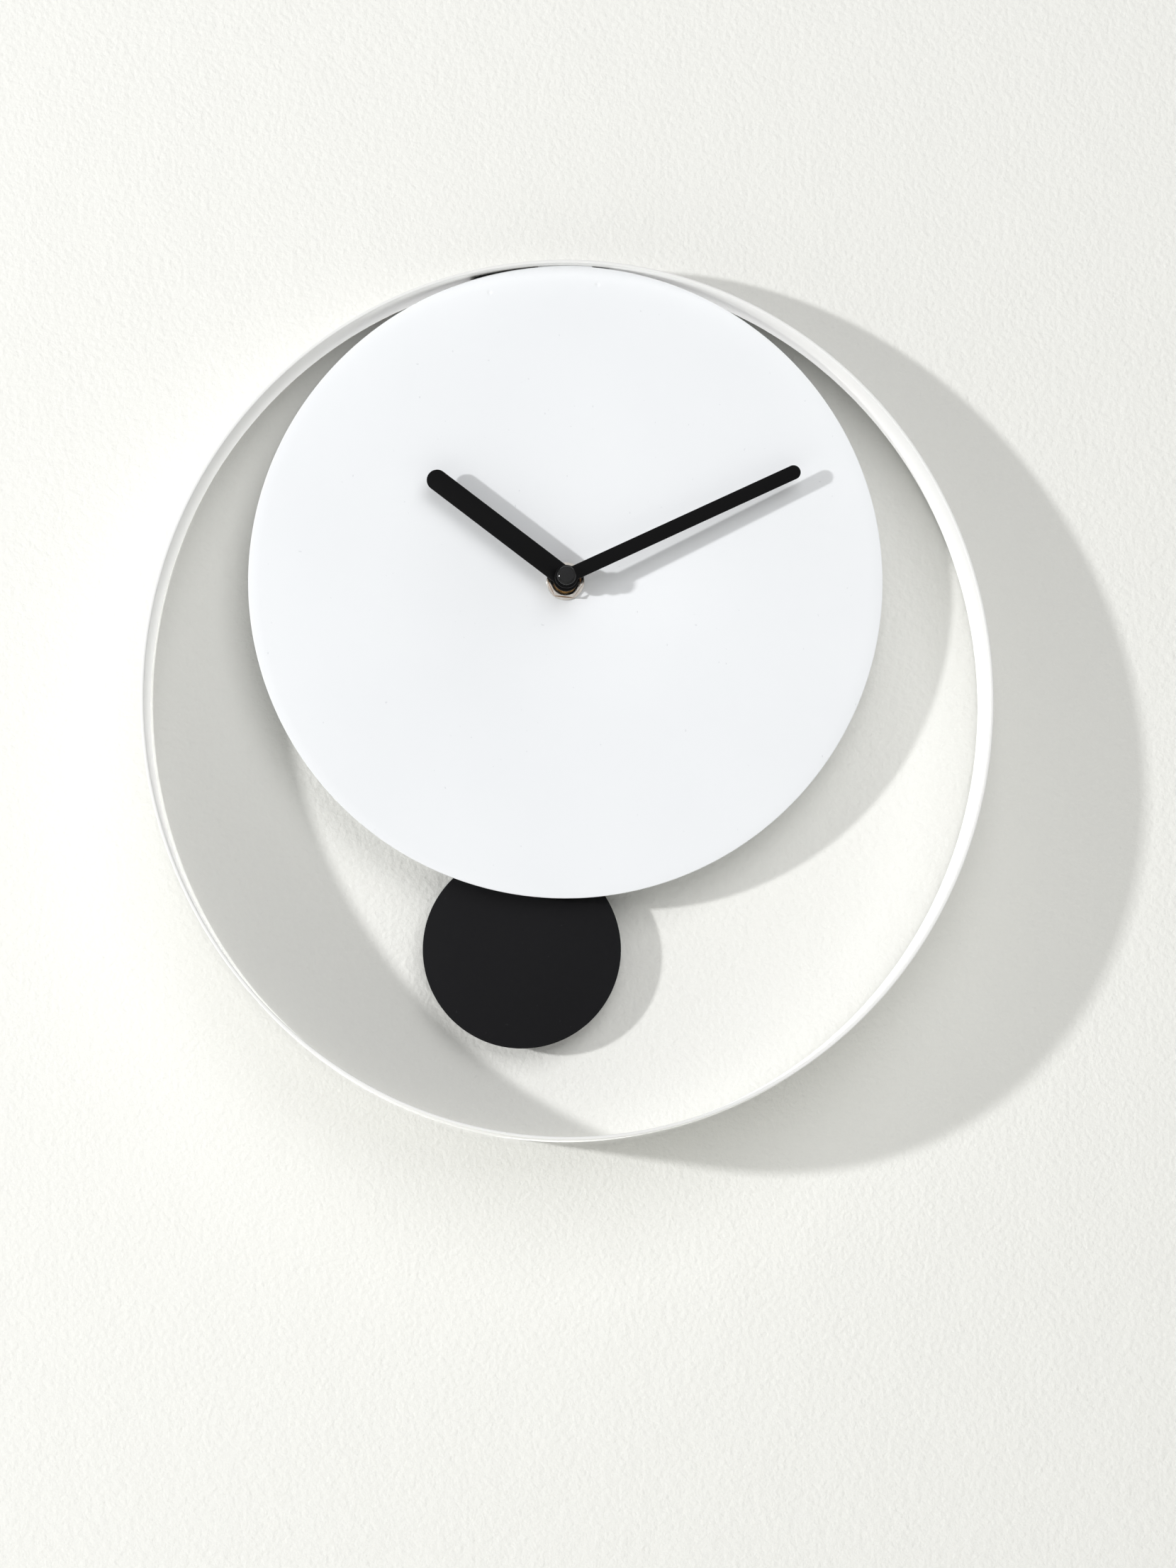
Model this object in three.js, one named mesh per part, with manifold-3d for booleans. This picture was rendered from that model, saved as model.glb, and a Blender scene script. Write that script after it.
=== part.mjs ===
// A wall clock: a thin white hoop with a slanted front edge, a round white dial set high inside it,
// two black hands, and a black disc that swings on a pendulum below the dial.
//
// Clock coordinates: x to the right, y up, z out from the wall. The wall is the plane z = 0, and x = y = 0
// is the hoop's centre. The exported group turns them so that +Z is up and the front faces -Y, with the
// origin at the top of the keyhole that the wall screw holds.
import * as THREE from "three";
import { mergeVertices } from "three/addons/utils/BufferGeometryUtils.js";
import Module from "manifold-3d";

const wasm = await Module();
wasm.setup();

// ---------------------------------------------------------------- driving dimensions, millimetres

// Clearances
const REST_GAP = 0.3; // between two pieces that touch
const RUNNING_GAP = 0.1; // round a shaft or a pin, on the radius
const MESH_GAP = 0.1; // added to the centre distance of two gears
const CUT_MARGIN = 1; // how far a cutting shape runs past what it cuts

// Hoop: thin sheet, a little taller than wide, shallow at the top and deep at the bottom
const HOOP_WIDTH = 342;
const HOOP_HEIGHT = 358;
const HOOP_SHEET = 1.3;
const HOOP_DEPTH_TOP = 23.4;
const HOOP_DEPTH_BOTTOM = 56.6;

// Dial
const DIAL_RADIUS = 128.9;
const DIAL_SHEET = 1;
const DIAL_FRONT_Z = 19;
const LUG_WIDTH = 22;
const LUG_DEPTH = 10;
const LUG_SINK = 0.1; // from the dial's edge down to the lug, at the lug's corners
const RIVET_RADIUS = 1.6;
const RIVET_HEAD_RADIUS = 3;
const RIVET_HEAD_HEIGHT = 1.2;
const RIVET_SPACING = 13;

// Hanger bracket and the studs that carry the dial
const BRACKET_SHEET = 1.2;
const BRACKET_LEFT = -37;
const BRACKET_RIGHT = 18;
const BRACKET_LEG = 28; // how far the two legs reach down from the top of the hoop
const STUD_INSET = 6.9; // from the dial's edge in to the studs
const STUD_SPACING = 44;
const STUD_TURN = THREE.MathUtils.degToRad(4.2); // the pair sits this far left of the dial's top
const STUD_RADIUS = 1.5;
const STUD_NUT_FLATS = 5.5;
const STUD_NUT_HEIGHT = 2.4;
const STUD_END = 1; // of the stud behind its nut
const LUG_ROOM = 1; // round the dial's lug and its rivets
const KEYHOLE_RADIUS = 4.5;
const KEYHOLE_SLOT = 4.2;
const KEYHOLE_RISE = 6.5; // from the round hole's centre to the top of the slot
const KEYHOLE_TOP = 12.7; // from the inside of the hoop's top down to the slot's top

// Shaft stack in front of the dial
const BUSH_RADIUS = 3.9;
const BUSH_BORE = 2.75;
const BUSH_FLANGE_RADIUS = 5;
const BUSH_FLANGE = 0.9;
const GASKET_RADIUS = 9;
const GASKET_THICKNESS = 0.8;
const WASHER_RADIUS = 7.7;
const WASHER_THICKNESS = 0.5;
const NUT_FLATS = 13.2;
const NUT_HEIGHT = 2.6;
const BUSH_SHOWING = 1.9; // of the bush in front of its nut
const ARBOR_RADIUS = 1.6;
const ARBOR_CHAMFER = 0.4;
const PIPE_WALL = 0.7; // of the hour wheel's pipe

// Hands
const HAND_SHEET = 0.8;
const HOUR_LENGTH = 71;
const HOUR_WIDTH = 8.4;
const HOUR_HUB_RADIUS = 5.3;
const HOUR_COLLAR_RADIUS = 3.7;
const HOUR_COLLAR = 2.2;
const HOUR_ANGLE = THREE.MathUtils.degToRad(-307.4);
const MINUTE_LENGTH = 104.4;
const MINUTE_WIDTH = 5.8;
const MINUTE_HUB_RADIUS = 4.7;
const MINUTE_COLLAR_RADIUS = 2.9;
const MINUTE_COLLAR = 3.4;
const MINUTE_ANGLE = THREE.MathUtils.degToRad(-65);
const MINUTE_FALL = Math.tan(THREE.MathUtils.degToRad(2.3)); // the hand leans back to the dial
const CAP_RADIUS = 3.85;
const CAP_HEIGHT = 3.5;
const CAP_EDGE = 0.7;
const CAP_BORE_DEPTH = 2.2;

// Movement case, built outwards from the hand shaft
const CASE_WALL = 1.2;
const CASE_FRONT = 0.7;
const CASE_CORNER = 1.5;
const CASE_BACK_Z = 1.1;
const COVER_SHEET = 1.2;
const COVER_CORNER = 1;
const PARTITION = 0.8; // between the gears and the battery
const LOWER_PARTITION = 1; // between the gears and the pendulum's lever
const TRAIN_ROOM = 2.3; // round the largest wheel, up to the partition
const MOTOR_ROOM = 0.7; // round the motor's coil
const SWING_MOUTH = 34; // width of the open bottom that the lever swings in
const BATTERY_RADIUS = 6.95;
const BATTERY_LENGTH = 49.2;
const BATTERY_EDGE = 0.5;
const BATTERY_NUB_RADIUS = 2.7;
const BATTERY_NUB = 1;
const BATTERY_ROOM = 0.25; // above and below the cell
const CONTACT_ROOM = 1.9; // from each end of the cell to the strip's back
const CONTACT_SHEET = 0.4;
const CONTACT_HALF_WIDTH = 5;
const CONTACT_HALF_DEPTH = 4;
const CONTACT_TIP_RADIUS = 1.6;
const CONTACT_ROOT_RADIUS = 2.6;

// Gears
const MOTION_MODULE = 0.4;
const TRAIN_MODULE = 0.3;
const ROTOR_MODULE = 0.25;
const CANNON_TEETH = 12;
const MINUTE_WHEEL_TEETH = 36;
const MINUTE_PINION_TEETH = 10;
const HOUR_WHEEL_TEETH = 40;
const CENTER_TEETH = 64;
const TRAIN_PINION_TEETH = 8;
const INTERMEDIATE_TEETH = 60;
const ROTOR_PINION_TEETH = 8;
const MINUTE_WHEEL_BEARING = THREE.MathUtils.degToRad(-30);
const INTERMEDIATE_BEARING = THREE.MathUtils.degToRad(168);
const ROTOR_BEARING = THREE.MathUtils.degToRad(178);
const HOUR_WHEEL_SHEET = 1.1;
const MINUTE_WHEEL_SHEET = 0.9;
const WHEEL_SHEET = 0.8;
const PINION_HEIGHT = 1.2;
const WHEEL_SPACE = 0.9; // between one wheel and the next along the shaft
const PLATE_SHEET = 1;
const POST_RADIUS = 0.7;
const PIVOT_RADIUS = 0.5;
const KNOB_RADIUS = 6.5;
const KNOB_HEIGHT = 2.6;
const KNOB_Z = 0.8;
const KNOB_FACE = 1; // solid rear face of the knob, behind the shaft's end
const KNOB_RIDGES = 24;
const KNOB_RIDGE = 0.4;
const MAGNET_RADIUS = 2.8;
const MAGNET_HEIGHT = 1.6;
const MAGNET_AIR = 0.5; // between the magnet and the stator round it
const STATOR_SHEET = 0.8;
const STATOR_HALF = 5;
const STATOR_LEG = 2.2;
const COIL_RADIUS = 3;
const COIL_ROOM = 0.8; // between the knob and the coil
const COIL_LENGTH = 15;
const COIL_FLANGE = 0.9;
const COIL_WAIST = 0.5;
const CORE_WIDTH = 2;
const CORE_SHEET = 0.8;
const CORE_ENDS = 3; // of the core beyond the coil at each end
const BOARD_SHEET = 0.8;
const BOARD_STANDOFF = 1.2;
const BOARD_ROOM = 3; // between the knob and the board
const BOARD_MARGIN = 0.6;
const CHIP_RADIUS = 2.8;
const CHIP_HEIGHT = 1.2;
const CRYSTAL_RADIUS = 1;
const CRYSTAL_LENGTH = 6;

// Pendulum
const PIN_RADIUS = 0.8;
const PIN_BOSS_WALL = 1.3;
const PIVOT_ROOM = 1; // between the lever's hub and the partition above it
const PENDULUM_LENGTH = 131.3; // pivot to the bob's centre
const PENDULUM_REST = THREE.MathUtils.degToRad(-7.7); // swung to the left
const BOB_RADIUS = 40.4;
const BOB_SHEET = 0.8;
const BOB_FRONT_Z = 10;
const LEVER_SHEET = 2;
const LEVER_WIDTH = 6;
const LEVER_HUB_RADIUS = 3;
const LEVER_BELOW_CASE = 12;
const LEVER_Z = 5.2;
const ROD_RADIUS = 0.9;
const ROD_HOOK = 3; // length of rod in the lever's tip
const SOCKET_WALL = 1; // of the lever's tip round the rod
const CLIP_WIDTH = 7;
const CLIP_HEIGHT = 22;
const CLIP_WALL = 0.9;
const SWING_MAGNET_RADIUS = 3.2;
const SWING_MAGNET_HEIGHT = 2;
const SWING_MAGNET_REACH = 24;
const DRIVE_COIL_RADIUS = 6.5;
const DRIVE_COIL_HEIGHT = 2.2;
const DRIVE_COIL_BORE = 1.5;
const SWING_ROOM = 0.5; // below the drive coil, down to the case's end
const MAGNET_PAD = 1; // of the lever round its magnet

// Facets round a circle
const HOOP_FACETS = 120;
const DIAL_FACETS = 96;
const BOB_FACETS = 72;
const ROUND_FACETS = 32;
const SMALL_FACETS = 20;

// ---------------------------------------------------------------- places worked out from them

const hoopInnerA = HOOP_WIDTH / 2 - HOOP_SHEET;
const hoopInnerB = HOOP_HEIGHT / 2 - HOOP_SHEET;
const dialY = hoopInnerB - REST_GAP - DIAL_RADIUS;
const dialBackZ = DIAL_FRONT_Z - DIAL_SHEET;
const gasketZ = dialBackZ - REST_GAP - GASKET_THICKNESS;
const caseFrontZ = gasketZ - REST_GAP;
const caseInnerZ = caseFrontZ - CASE_FRONT;
const caseRimZ = CASE_BACK_Z + COVER_SHEET + REST_GAP;
const washerZ = DIAL_FRONT_Z + REST_GAP;
const nutZ = washerZ + WASHER_THICKNESS + REST_GAP;
const bushFlangeZ = caseInnerZ - REST_GAP - BUSH_FLANGE;
const bushFrontZ = nutZ + NUT_HEIGHT + BUSH_SHOWING;
const pipeBore = ARBOR_RADIUS + RUNNING_GAP;
const pipeRadius = pipeBore + PIPE_WALL;
const hourCollarZ = bushFrontZ + REST_GAP;
const hourHandZ = hourCollarZ + HOUR_COLLAR;
const minuteCollarZ = hourHandZ + HAND_SHEET + REST_GAP;
const minuteHandZ = minuteCollarZ + MINUTE_COLLAR;
const capZ = minuteHandZ + HAND_SHEET + REST_GAP;
const arborFrontZ = capZ + CAP_BORE_DEPTH - REST_GAP;
const batteryZ = (CASE_BACK_Z + caseInnerZ) / 2 + REST_GAP;
const bracketFrontZ = dialBackZ - REST_GAP;
const keyholeY = hoopInnerB - KEYHOLE_TOP;
const studRing = DIAL_RADIUS - STUD_INSET;

// Depth of each gear, from the hour wheel behind the bush down to the rotor
const hourWheelZ = bushFlangeZ - REST_GAP - HOUR_WHEEL_SHEET;
const minuteWheelZ = hourWheelZ - WHEEL_SPACE - MINUTE_WHEEL_SHEET;
const minuteWheelFrontZ = hourWheelZ + HOUR_WHEEL_SHEET + REST_GAP / 2;
const plateZ = minuteWheelZ - WHEEL_SPACE - PLATE_SHEET;
const centerWheelZ = plateZ - WHEEL_SPACE - WHEEL_SHEET;
const intermediateZ = centerWheelZ - WHEEL_SPACE - WHEEL_SHEET;
const magnetZ = intermediateZ - WHEEL_SPACE - MAGNET_HEIGHT;
const statorZ = magnetZ + (MAGNET_HEIGHT - STATOR_SHEET) / 2;
const coreZ = statorZ + STATOR_SHEET + REST_GAP;
const boardZ = caseRimZ + BOARD_STANDOFF;

// Centres of the wheels that turn beside the hand shaft
const pitchSum = (CANNON_TEETH + MINUTE_WHEEL_TEETH) * MOTION_MODULE;
const hourModule = pitchSum / (MINUTE_PINION_TEETH + HOUR_WHEEL_TEETH);
const motionReach = pitchSum / 2 + MESH_GAP;
const centerReach = ((CENTER_TEETH + TRAIN_PINION_TEETH) * TRAIN_MODULE) / 2 + MESH_GAP;
const rotorReach = ((INTERMEDIATE_TEETH + ROTOR_PINION_TEETH) * ROTOR_MODULE) / 2 + MESH_GAP;
const minuteWheelAt = polar(motionReach, MINUTE_WHEEL_BEARING);
const intermediateAt = polar(centerReach, INTERMEDIATE_BEARING);
const rotorAt = intermediateAt.clone().add(polar(rotorReach, ROTOR_BEARING));

// Heights in the movement, from the hand shaft
const coilY = -(KNOB_RADIUS + COIL_ROOM + COIL_RADIUS);
const trainTop = (CENTER_TEETH * TRAIN_MODULE) / 2 + TRAIN_ROOM;
const trainBottom = coilY - COIL_RADIUS - MOTOR_ROOM;
const swingTop = trainBottom - LOWER_PARTITION;
const pivotY = swingTop - PIVOT_ROOM - LEVER_HUB_RADIUS;
const caseBottom = pivotY - SWING_MAGNET_REACH - DRIVE_COIL_RADIUS - SWING_ROOM;
const bayBottom = trainTop + PARTITION;
const bayTop = bayBottom + 2 * (BATTERY_RADIUS + BATTERY_ROOM);
const batteryY = (bayBottom + bayTop) / 2;
const caseTop = bayTop + CASE_WALL / 2;
const contactHalf = BATTERY_LENGTH / 2 + CONTACT_ROOM;
const caseInnerHalf = contactHalf + REST_GAP;
const caseHalf = caseInnerHalf + CASE_WALL;
const leverLength = pivotY - caseBottom + LEVER_BELOW_CASE;
const coilX = rotorAt.x + STATOR_HALF - MOTOR_ROOM;
const coreHalf = COIL_LENGTH / 2 + CORE_ENDS;
const boardLeft = KNOB_RADIUS + BOARD_ROOM;
const boardRight = caseInnerHalf - REST_GAP;

// ---------------------------------------------------------------- materials

const finish = (color, roughness, metalness) => () =>
  new THREE.MeshStandardMaterial({ color, roughness, metalness });
const hoopWhite = finish(0xf7f7f6, 0.4, 0);
const dialWhite = finish(0xeef0f4, 0.6, 0);
const matteBlack = finish(0x202122, 0.7, 0);
const handBlack = finish(0x18191a, 0.55, 0);
const glossBlack = finish(0x0e0e0f, 0.2, 0);
const nickel = finish(0xc9c6c0, 0.25, 1);
const brass = finish(0xc89a4a, 0.3, 1);
const steel = finish(0xa6a8aa, 0.4, 1);
const caseBlack = finish(0x1b1c1e, 0.6, 0);
const gearWhite = finish(0xe9e6dc, 0.5, 0);
const copper = finish(0xb4622f, 0.35, 1);
const magnetGrey = finish(0x5a5b5e, 0.4, 1);
const boardGreen = finish(0x1f5c3a, 0.5, 0);
const rubberBlack = finish(0x161616, 0.9, 0);
const batteryJacket = finish(0x3f4d63, 0.35, 0.2);

// ---------------------------------------------------------------- helpers

// A point at a distance and an angle, counted anticlockwise from +x.
function polar(distance, angle) {
  return new THREE.Vector2(distance * Math.cos(angle), distance * Math.sin(angle));
}

// A closed geometry as a manifold solid, for joins and cuts.
function toSolid(geometry) {
  const bare = new THREE.BufferGeometry();
  bare.setAttribute("position", geometry.getAttribute("position"));
  if (geometry.index) bare.setIndex(geometry.index);
  const merged = mergeVertices(bare, 1e-4);
  return new wasm.Manifold(
    new wasm.Mesh({
      numProp: 3,
      vertProperties: merged.attributes.position.array,
      triVerts: merged.index.array,
    }),
  );
}

// A manifold solid as a geometry with flat-shaded faces.
function toGeometry(solid) {
  const mesh = solid.getMesh();
  const geometry = new THREE.BufferGeometry();
  geometry.setAttribute("position", new THREE.BufferAttribute(mesh.vertProperties, 3));
  geometry.setIndex(new THREE.BufferAttribute(mesh.triVerts, 1));
  const flat = geometry.toNonIndexed();
  flat.computeVertexNormals();
  return flat;
}

function join(...geometries) {
  return toGeometry(geometries.map(toSolid).reduce((whole, next) => whole.add(next)));
}

function cut(geometry, ...tools) {
  return toGeometry(tools.map(toSolid).reduce((whole, tool) => whole.subtract(tool), toSolid(geometry)));
}

// An outline extruded outwards from the wall, between two depths; arcs get this many facets each.
function plate(shape, fromZ, toZ, facets = SMALL_FACETS) {
  const geometry = new THREE.ExtrudeGeometry(shape, {
    depth: toZ - fromZ,
    bevelEnabled: false,
    curveSegments: facets / 2,
  });
  return geometry.translate(0, 0, fromZ);
}

// A round bar along z.
function bar(radius, fromZ, toZ, x = 0, y = 0, facets = ROUND_FACETS) {
  return new THREE.CylinderGeometry(radius, radius, toZ - fromZ, facets)
    .rotateX(Math.PI / 2)
    .translate(x, y, (fromZ + toZ) / 2);
}

// A block between two corners.
function block(x0, x1, y0, y1, z0, z1) {
  return new THREE.BoxGeometry(x1 - x0, y1 - y0, z1 - z0).translate(
    (x0 + x1) / 2,
    (y0 + y1) / 2,
    (z0 + z1) / 2,
  );
}

// A tube along z.
function tube(outer, bore, fromZ, toZ, facets = ROUND_FACETS) {
  const profile = [
    [bore, fromZ],
    [outer, fromZ],
    [outer, toZ],
    [bore, toZ],
    [bore, fromZ],
  ];
  return turned(profile, facets);
}

// A profile of [radius, z] points turned about z.
function turned(profile, facets = ROUND_FACETS) {
  const points = profile.map(([radius, z]) => new THREE.Vector2(radius, z));
  return new THREE.LatheGeometry(points, facets).rotateX(Math.PI / 2);
}

function circle(radius, x = 0, y = 0) {
  const shape = new THREE.Shape();
  shape.absarc(x, y, radius, 0, 2 * Math.PI, false);
  return shape;
}

function polygon(points) {
  return new THREE.Shape(points.map(([x, y]) => new THREE.Vector2(x, y)));
}

function hexagon(flats) {
  const corner = flats / Math.sqrt(3);
  return new THREE.Shape(Array.from({ length: 6 }, (_, i) => polar(corner, (i * Math.PI) / 3)));
}

function roundedRectangle(x0, x1, y0, y1, radius) {
  const centres = [
    [x1 - radius, y1 - radius],
    [x0 + radius, y1 - radius],
    [x0 + radius, y0 + radius],
    [x1 - radius, y0 + radius],
  ];
  const points = [];
  centres.forEach(([x, y], corner) => {
    for (const share of [0, 0.5, 1]) {
      points.push(polar(radius, ((corner + share) * Math.PI) / 2).add(new THREE.Vector2(x, y)));
    }
  });
  return new THREE.Shape(points);
}

// Trapezoid teeth; toothAt is the direction that the middle of the first tooth points in.
function gearShape(teeth, module, toothAt) {
  const pitch = (teeth * module) / 2;
  const tip = pitch + 0.9 * module;
  const root = pitch - 1.15 * module;
  const step = (2 * Math.PI) / teeth;
  const corners = [
    [root, -0.27],
    [tip, -0.11],
    [tip, 0.11],
    [root, 0.27],
  ];
  const points = [];
  for (let i = 0; i < teeth; i++) {
    for (const [radius, share] of corners) {
      points.push(polar(radius, toothAt + (i + share) * step));
    }
  }
  return new THREE.Shape(points);
}

// The direction of a tooth that leaves a gap facing the driving wheel, which lies at the bearing.
function gapFacing(bearing, teeth) {
  return bearing + Math.PI + Math.PI / teeth;
}

function add(parent, name, geometry, material) {
  const mesh = new THREE.Mesh(geometry, material());
  mesh.name = name;
  parent.add(mesh);
  return mesh;
}

// ---------------------------------------------------------------- hoop

// How far the hoop's front edge stands off the wall at a height.
function hoopDepth(y) {
  const middle = (HOOP_DEPTH_TOP + HOOP_DEPTH_BOTTOM) / 2;
  return middle - ((HOOP_DEPTH_BOTTOM - HOOP_DEPTH_TOP) * y) / HOOP_HEIGHT;
}

// A round ring of unit depth, drawn out to the oval and to the slanted front edge.
function hoopGeometry() {
  const outer = HOOP_WIDTH / 2;
  const ring = tube(outer, outer - HOOP_SHEET, 0, 1, HOOP_FACETS);
  const position = ring.getAttribute("position");
  for (let i = 0; i < position.count; i++) {
    const x = position.getX(i);
    const inset = outer - Math.hypot(x, position.getY(i));
    const y = (position.getY(i) * (HOOP_HEIGHT / 2 - inset)) / (outer - inset);
    position.setXYZ(i, x, y, position.getZ(i) * hoopDepth(y));
  }
  const holes = rivetXs().map((x) => rivetShank(x, RIVET_RADIUS + RUNNING_GAP));
  return cut(ring, ...holes);
}

function rivetXs() {
  return [-RIVET_SPACING / 2, RIVET_SPACING / 2];
}

function rivetZ() {
  return dialBackZ - LUG_DEPTH / 2;
}

// An upright bar through the hoop's top and the lug under it.
function rivetShank(x, radius, top = HOOP_HEIGHT / 2 + CUT_MARGIN, bottom = lugBottom() - CUT_MARGIN) {
  return new THREE.CylinderGeometry(radius, radius, top - bottom, SMALL_FACETS).translate(
    x,
    (top + bottom) / 2,
    rivetZ(),
  );
}

function rivetGeometry(x) {
  const headY = HOOP_HEIGHT / 2 + REST_GAP;
  const tailY = lugBottom() - REST_GAP;
  const head = new THREE.CylinderGeometry(
    0.6 * RIVET_HEAD_RADIUS,
    RIVET_HEAD_RADIUS,
    RIVET_HEAD_HEIGHT,
    SMALL_FACETS,
  ).translate(x, headY + RIVET_HEAD_HEIGHT / 2, rivetZ());
  const tail = new THREE.CylinderGeometry(
    0.8 * RIVET_HEAD_RADIUS,
    0.6 * RIVET_HEAD_RADIUS,
    RIVET_HEAD_HEIGHT,
    SMALL_FACETS,
  ).translate(x, tailY - RIVET_HEAD_HEIGHT / 2, rivetZ());
  const shank = rivetShank(x, RIVET_RADIUS, headY + RIVET_HEAD_HEIGHT / 2, tailY - RIVET_HEAD_HEIGHT / 2);
  return join(shank, head, tail);
}

// ---------------------------------------------------------------- dial

// The lug is folded back from the dial's top edge, flat under the hoop.
function lugTop() {
  const sag = DIAL_RADIUS - Math.sqrt(DIAL_RADIUS ** 2 - (LUG_WIDTH / 2) ** 2);
  return dialY + DIAL_RADIUS - sag - LUG_SINK;
}

function lugBottom() {
  return lugTop() - DIAL_SHEET;
}

function dialGeometry() {
  const outline = circle(DIAL_RADIUS, 0, dialY);
  outline.holes.push(circle(BUSH_RADIUS + RUNNING_GAP, 0, dialY));
  const disc = plate(outline, dialBackZ, DIAL_FRONT_Z, DIAL_FACETS);
  const lug = block(
    -LUG_WIDTH / 2,
    LUG_WIDTH / 2,
    lugBottom(),
    lugTop(),
    dialBackZ - LUG_DEPTH,
    dialBackZ + DIAL_SHEET / 2,
  );
  const holes = rivetXs().map((x) => rivetShank(x, RIVET_RADIUS + RUNNING_GAP));
  return cut(join(disc, lug), ...holes);
}

function studPlace(side) {
  const half = Math.asin(STUD_SPACING / 2 / studRing);
  const at = polar(studRing, Math.PI / 2 + STUD_TURN - side * half);
  return new THREE.Vector2(at.x, at.y + dialY);
}

function studGeometry(side) {
  const { x, y } = studPlace(side);
  const back = bracketFrontZ - BRACKET_SHEET - REST_GAP - STUD_NUT_HEIGHT - STUD_END;
  return bar(STUD_RADIUS, back, dialBackZ - REST_GAP, x, y, SMALL_FACETS);
}

function studNutGeometry(side) {
  const { x, y } = studPlace(side);
  const shape = hexagon(STUD_NUT_FLATS);
  shape.holes.push(circle(STUD_RADIUS + RUNNING_GAP));
  const front = bracketFrontZ - BRACKET_SHEET - REST_GAP;
  return plate(shape, front - STUD_NUT_HEIGHT, front).translate(x, y, 0);
}

// ---------------------------------------------------------------- hanger bracket

// The area under the hoop's inner curve, between two sides and down to a level.
function underHoop(left, right, bottom, inset) {
  const a = hoopInnerA - inset;
  const b = hoopInnerB - inset;
  const shape = new THREE.Shape();
  shape.absellipse(0, 0, a, b, Math.acos(left / a), Math.acos(right / a), true, 0);
  shape.lineTo(right, bottom);
  shape.lineTo(left, bottom);
  return shape;
}

function bracketGeometry() {
  const bottom = hoopInnerB - BRACKET_LEG;
  const body = plate(underHoop(BRACKET_LEFT, BRACKET_RIGHT, bottom, REST_GAP), 0, bracketFrontZ);
  const hollow = plate(
    underHoop(
      BRACKET_LEFT - CUT_MARGIN,
      BRACKET_RIGHT + CUT_MARGIN,
      bottom - CUT_MARGIN,
      REST_GAP + BRACKET_SHEET,
    ),
    BRACKET_SHEET,
    bracketFrontZ - BRACKET_SHEET,
  );
  const lugSpace = LUG_WIDTH / 2 + LUG_ROOM;
  const notch = block(
    -lugSpace,
    lugSpace,
    lugBottom() - RIVET_HEAD_HEIGHT - LUG_ROOM,
    HOOP_HEIGHT / 2,
    dialBackZ - LUG_DEPTH - LUG_ROOM,
    dialBackZ,
  );
  const studHoles = [-1, 1].map((side) => {
    const { x, y } = studPlace(side);
    return bar(
      STUD_RADIUS + RUNNING_GAP,
      bracketFrontZ - BRACKET_SHEET - CUT_MARGIN,
      dialBackZ,
      x,
      y,
      SMALL_FACETS,
    );
  });
  const cutZ = [-CUT_MARGIN, BRACKET_SHEET + CUT_MARGIN];
  const roundY = keyholeY - KEYHOLE_RISE;
  const slotHalf = KEYHOLE_SLOT / 2;
  const roundHole = bar(KEYHOLE_RADIUS, ...cutZ, 0, roundY);
  const slotEnd = bar(slotHalf, ...cutZ, 0, keyholeY - slotHalf);
  const slot = block(-slotHalf, slotHalf, roundY, keyholeY - slotHalf, ...cutZ);
  return cut(body, hollow, notch, ...studHoles, join(roundHole, slotEnd, slot));
}

// ---------------------------------------------------------------- shaft stack

function bushGeometry() {
  return turned([
    [BUSH_BORE, bushFlangeZ],
    [BUSH_FLANGE_RADIUS, bushFlangeZ],
    [BUSH_FLANGE_RADIUS, bushFlangeZ + BUSH_FLANGE],
    [BUSH_RADIUS, bushFlangeZ + BUSH_FLANGE],
    [BUSH_RADIUS, bushFrontZ - 0.4],
    [BUSH_RADIUS - 0.4, bushFrontZ],
    [BUSH_BORE, bushFrontZ],
    [BUSH_BORE, bushFlangeZ],
  ]);
}

// The nut's corners are chamfered at the front by the cone that its turned tool leaves.
function nutGeometry() {
  const shape = hexagon(NUT_FLATS);
  shape.holes.push(circle(BUSH_RADIUS + RUNNING_GAP));
  const body = toSolid(plate(shape, nutZ, nutZ + NUT_HEIGHT, ROUND_FACETS));
  const corner = NUT_FLATS / Math.sqrt(3);
  const chamfer = turned([
    [0, nutZ - 1],
    [corner + 1, nutZ - 1],
    [corner + 1, nutZ + NUT_HEIGHT - 1.3],
    [NUT_FLATS / 2 - 0.2, nutZ + NUT_HEIGHT],
    [0, nutZ + NUT_HEIGHT],
  ]);
  return toGeometry(body.intersect(toSolid(chamfer)));
}

// ---------------------------------------------------------------- hands

function handStrip(width, length) {
  const half = width / 2;
  const shape = new THREE.Shape();
  shape.moveTo(-half, 0);
  shape.lineTo(half, 0);
  shape.absarc(0, length - half, half, 0, Math.PI, false);
  return shape;
}

// A parallel strip with a round end, on a round hub that is bored for its arbor.
function handGeometry(hand) {
  const { length, width, hub, bore, z, collarZ, collar, fall } = hand;
  const arm = plate(handStrip(width, length), z, z + HAND_SHEET);
  const position = arm.getAttribute("position");
  for (let i = 0; i < position.count; i++) {
    position.setZ(i, position.getZ(i) - fall * position.getY(i));
  }
  const disc = bar(hub, z, z + HAND_SHEET);
  const seat = bar(collar, collarZ, z + HAND_SHEET / 2);
  const hole = bar(bore, collarZ - 1, z + HAND_SHEET + 1);
  return cut(join(arm, disc, seat), hole);
}

function hourHandGeometry() {
  return handGeometry({
    length: HOUR_LENGTH,
    width: HOUR_WIDTH,
    hub: HOUR_HUB_RADIUS,
    bore: pipeRadius + RUNNING_GAP,
    z: hourHandZ,
    collarZ: hourCollarZ,
    collar: HOUR_COLLAR_RADIUS,
    fall: 0,
  });
}

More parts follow.
